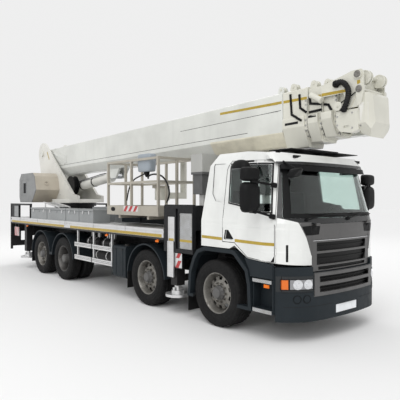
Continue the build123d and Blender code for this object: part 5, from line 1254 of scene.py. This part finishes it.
tube("cage_cable_loop", "hose", "work_cage",
     [gland_foot, gland_foot + Vector((0.06, 0.0, -0.16))]
     + [at(*place) for place in ((-2.16, -1.00, 2.43), (-1.90, -1.02, 2.46), (-1.62, -1.02, 2.40), (-1.45, -1.02, 2.20),
                                 (-1.44, -1.02, 2.02), (-1.52, -1.02, 1.92))], 0.016)
tube("cage_cable_arm", "hose", "work_cage",
     [gland_foot + Vector((-0.02, 0.0, -0.02))]
     + [at(*place) for place in ((-2.45, -0.98, 2.44), (-2.75, -0.96, 2.38), (-2.95, -0.95, 2.20),
                                 (-3.02, -0.95, 1.95))], 0.014)

# ------------------------------------------------------------------ deck gear
screen_rows = [(-5.30, -1.42, -0.395, -0.360, 1.4545, 1.745)]
screen_rows += [(x - 0.02, x + 0.02, -0.415, -0.395, 1.4545, 1.745) for x in (-5.28, -4.30, -3.35, -2.40, -1.44)]
boxes("deck_screen", "slate", "truck", LEFT, screen_rows, 0.006).done()
ladder = Piece("folded_steps", "alu", "truck")
STILES, STILE_START, STILE_TOP, STILE_FALL, DECK_TOP = (-1.02, -0.72), -7.25, 1.900, 0.125, 1.745
for y in STILES:
    ladder.rod(at(STILE_START, y, STILE_TOP), at(-6.25, y, 1.775), 0.020, 14)
for x in [-7.15 + k * 0.20 for k in range(5)]:
    z = STILE_TOP - (x - STILE_START) * STILE_FALL
    ladder.rod(at(x, STILES[0], z), at(x, STILES[1], z), 0.014, 12)
for y in STILES:
    ladder.rod(at(-6.25, y, 1.775), at(-6.25, y, DECK_TOP), 0.016, 12)
    ladder.rod(at(-7.15, y, 1.888), at(-7.15, y, DECK_TOP), 0.016, 12)
ladder.done()
rear_quad = front_quad(LEFT, rect(-1.15, 1.15, 1.305, 1.352), -9.9)
laid("deck_rear_tape", "yellow", "truck", "deck", [rear_quad], -BACK, 8)

for name, side in SIDES:
    # air tanks behind the side guards, hung from the frame by straps
    tanks = Piece(f"air_tanks_{name}", "steel", "truck")
    straps = Piece(f"air_tank_straps_{name}", "alu", "truck", bevel=0.002)
    for x, z, radius, run in ((-4.85, 0.985, 0.125, 0.62), (-4.12, 0.985, 0.125, 0.62), (-4.55, 0.710, 0.105, 0.90)):
        end = [(0.020, 0.0), (radius * 0.62, 0.012), (radius * 0.90, 0.035), (radius, 0.075)]
        shape = end + [(r, run - along) for r, along in reversed(end)]
        tanks.turn(shape, at(x, side * 0.86, z), (1, 0, 0), 36)
        for share in (0.25, 0.75):
            place = at(x + run * share, side * 0.86, z)
            straps.turn(rect(radius - 0.002, radius + 0.004, -0.018, 0.018), place, (1, 0, 0), 36, closed=True)
            straps.box(place + Vector((-0.015, -0.02, radius)), Vector((place.x + 0.015, place.y + 0.02, 1.258)))
    tanks.done()
    straps.done()
    # screws and the boom pin's cap on the turret's cheeks
    screws = Piece(f"cheek_screws_{name}", "bolt", "superstructure")
    for x, z in ((-8.95, 2.35), (-8.60, 2.35), (-8.95, 2.75), (-8.60, 2.75), (-7.95, 2.20), (-7.60, 2.12)):
        hit = SKINS["turret"].ray_cast(at(x, side * 2.0, z), INWARD[side], 2.0)[0]
        if hit is not None and abs(hit.y) > 0.38:
            screws.bolt(hit + INWARD[side] * SEATED, (0, side, 0), 0.012, 0.010)
    screws.done()
    pin_cap = Piece(f"boom_pin_cap_{name}", "rim", "superstructure", smooth=35.0)
    cheek_y = skin_point("turret", at(-8.80, side * SIDE_Y, 3.40), INWARD[side])[0].y
    pin = at(BOOM_PIVOT[0], cheek_y, BOOM_PIVOT[1])
    pin_cap.turn([(0.088, -0.002), (0.088, 0.010), (0.078, 0.016), (0.030, 0.016), (0.024, 0.024)],
                 pin, (0, side, 0), 36)
    for k in range(6):
        pin_cap.bolt(pin + circle(0.056, k * pi / 3) - INWARD[side] * 0.015, (0, side, 0), 0.008, 0.008)
    pin_cap.done()

# ------------------------------------------------------------------ lift cylinder
LIFT_FOOT, LIFT_EYE = at(-8.150, 0.0, 2.235), at(-5.000, 0.0, 2.600)
LIFT_LINE = (LIFT_EYE - LIFT_FOOT).normalized()
LIFT_UP = Vector((-LIFT_LINE.z, 0.0, LIFT_LINE.x))
BARREL_RUN = (LIFT_EYE - LIFT_FOOT).length - 0.330


def on_lift(along, around, out=0.0):
    """Place on the lift cylinder's barrel, round it from the top towards the right."""
    return LIFT_FOOT + LIFT_LINE * along + (LIFT_UP * cos(around) + OUT_RIGHT * sin(around)) * out


BARREL_R = abs(skin_point("lift_barrel", on_lift(BARREL_RUN * 0.6, pi / 2, 1.0), INWARD[RIGHT])[0].y)
rings = Piece("lift_rings", "iron", "lift_cylinder", smooth=35.0)
for along in (0.55, 1.25, 1.95):
    rings.turn(rect(BARREL_R - 0.002, BARREL_R + 0.008, -0.022, 0.022), on_lift(along, 0.0), LIFT_LINE, 48, closed=True)
rings.done()
for number, around in enumerate((0.55, 0.85)):
    reach = BARREL_R + 0.022
    stations = ((0.30, reach - 0.02), (0.40, reach), (1.20, reach), (2.00, reach), (BARREL_RUN - 0.22, reach),
                (BARREL_RUN - 0.12, BARREL_R - 0.005))
    tube(f"lift_pipe_{number}", "chrome" if number else "hose", "lift_cylinder",
         [on_lift(along, around, out) for along, out in stations], 0.012)


# ------------------------------------------------------------------ jib
def on_jib(x, drop):
    """Place on the jib's left flank, below the line of its upper pipe."""
    place = at(x, SIDE_Y, 3.06 - (1.75 - x) * 0.0208 - drop)
    return skin_point("jib", place, INWARD[LEFT])[0]


for number, drop in enumerate((0.0, 0.035)):
    tube(f"jib_pipe_{number}", "hose", "jib_arm",
         [on_jib(1.45 - k * 0.7, drop) + Vector((0, 0.013, 0)) for k in range(6)], 0.011)
clips = Piece("jib_clips", "bolt", "jib_arm", bevel=0.002)
for k in range(6):
    place = on_jib(1.35 - k * 0.66, 0.018)
    clips.box(place + Vector((-0.015, -0.002, -0.045)), place + Vector((0.015, 0.030, 0.045)))
clips.done()

# ------------------------------------------------------------------ studio
FLOOR_REACH = 90.0
scene = bpy.context.scene
stage_floor = bpy.data.meshes.new("stage_floor")
floor_corners = [(x, y, 0) for x, y in rect(-FLOOR_REACH, FLOOR_REACH, -FLOOR_REACH, FLOOR_REACH)]
stage_floor.from_pydata(floor_corners, [], [(0, 1, 2, 3)])
floor_object = bpy.data.objects.new("stage_floor", stage_floor)
scene.collection.objects.link(floor_object)
floor_material, _, floor_shader = new_material("stage_floor")
floor_shader.inputs["Base Color"].default_value = (0.86, 0.86, 0.86, 1.0)
floor_shader.inputs["Roughness"].default_value = 0.9
stage_floor.materials.append(floor_material)

world = bpy.data.worlds.new("studio")
world.use_nodes = True
background = world.node_tree.nodes["Background"]
background.inputs["Color"].default_value = (1.0, 1.0, 1.0, 1.0)
background.inputs["Strength"].default_value = 0.86
scene.world = world


def lamp(name, kind, watts, line, place=(0, 0, 0), **settings):
    """Light at a place that shines along a line."""
    data = bpy.data.lights.new(name, kind)
    data.energy = watts
    for key, value in settings.items():
        setattr(data, key, value)
    light = bpy.data.objects.new(name, data)
    light.location = place
    light.rotation_euler = line.to_track_quat("-Z", "Y").to_euler()
    scene.collection.objects.link(light)


def soft_light(name, place, target, size, watts):
    """Square lamp that shines from a place at a target."""
    lamp(name, "AREA", watts, target - place, place, size=size)


soft_light("key", at(9.0, -16.0, 13.0), at(-3.0, 0.0, 1.5), 12.0, 900.0)
soft_light("rim", at(-12.0, 9.0, 10.0), at(-4.0, 0.0, 2.0), 8.0, 350.0)
lamp("sky_sun", "SUN", 0.55, Vector((-0.35, 0.55, -1.0)), angle=radians(30.0))

# ------------------------------------------------------------------ camera
CAMERA_AT = (5.385, -6.049, 1.963)            # from the front axle, fitted to the photograph
CAMERA_YAW = radians(40.13)                   # between the view and the truck's rearward axis
FOCAL = 468.2 / 400                           # focal length over the picture's width
SENSOR = 36.0

camera_data = bpy.data.cameras.new("camera")
camera_data.sensor_width = SENSOR
camera_data.lens = SENSOR * FOCAL
camera_data.clip_end = 400.0
camera = bpy.data.objects.new("camera", camera_data)
camera.location = at(*CAMERA_AT)
view_line = Vector((-cos(CAMERA_YAW), sin(CAMERA_YAW), 0.0))
camera.rotation_euler = view_line.to_track_quat("-Z", "Y").to_euler()
scene.collection.objects.link(camera)
scene.camera = camera
scene.view_settings.view_transform = "Standard"
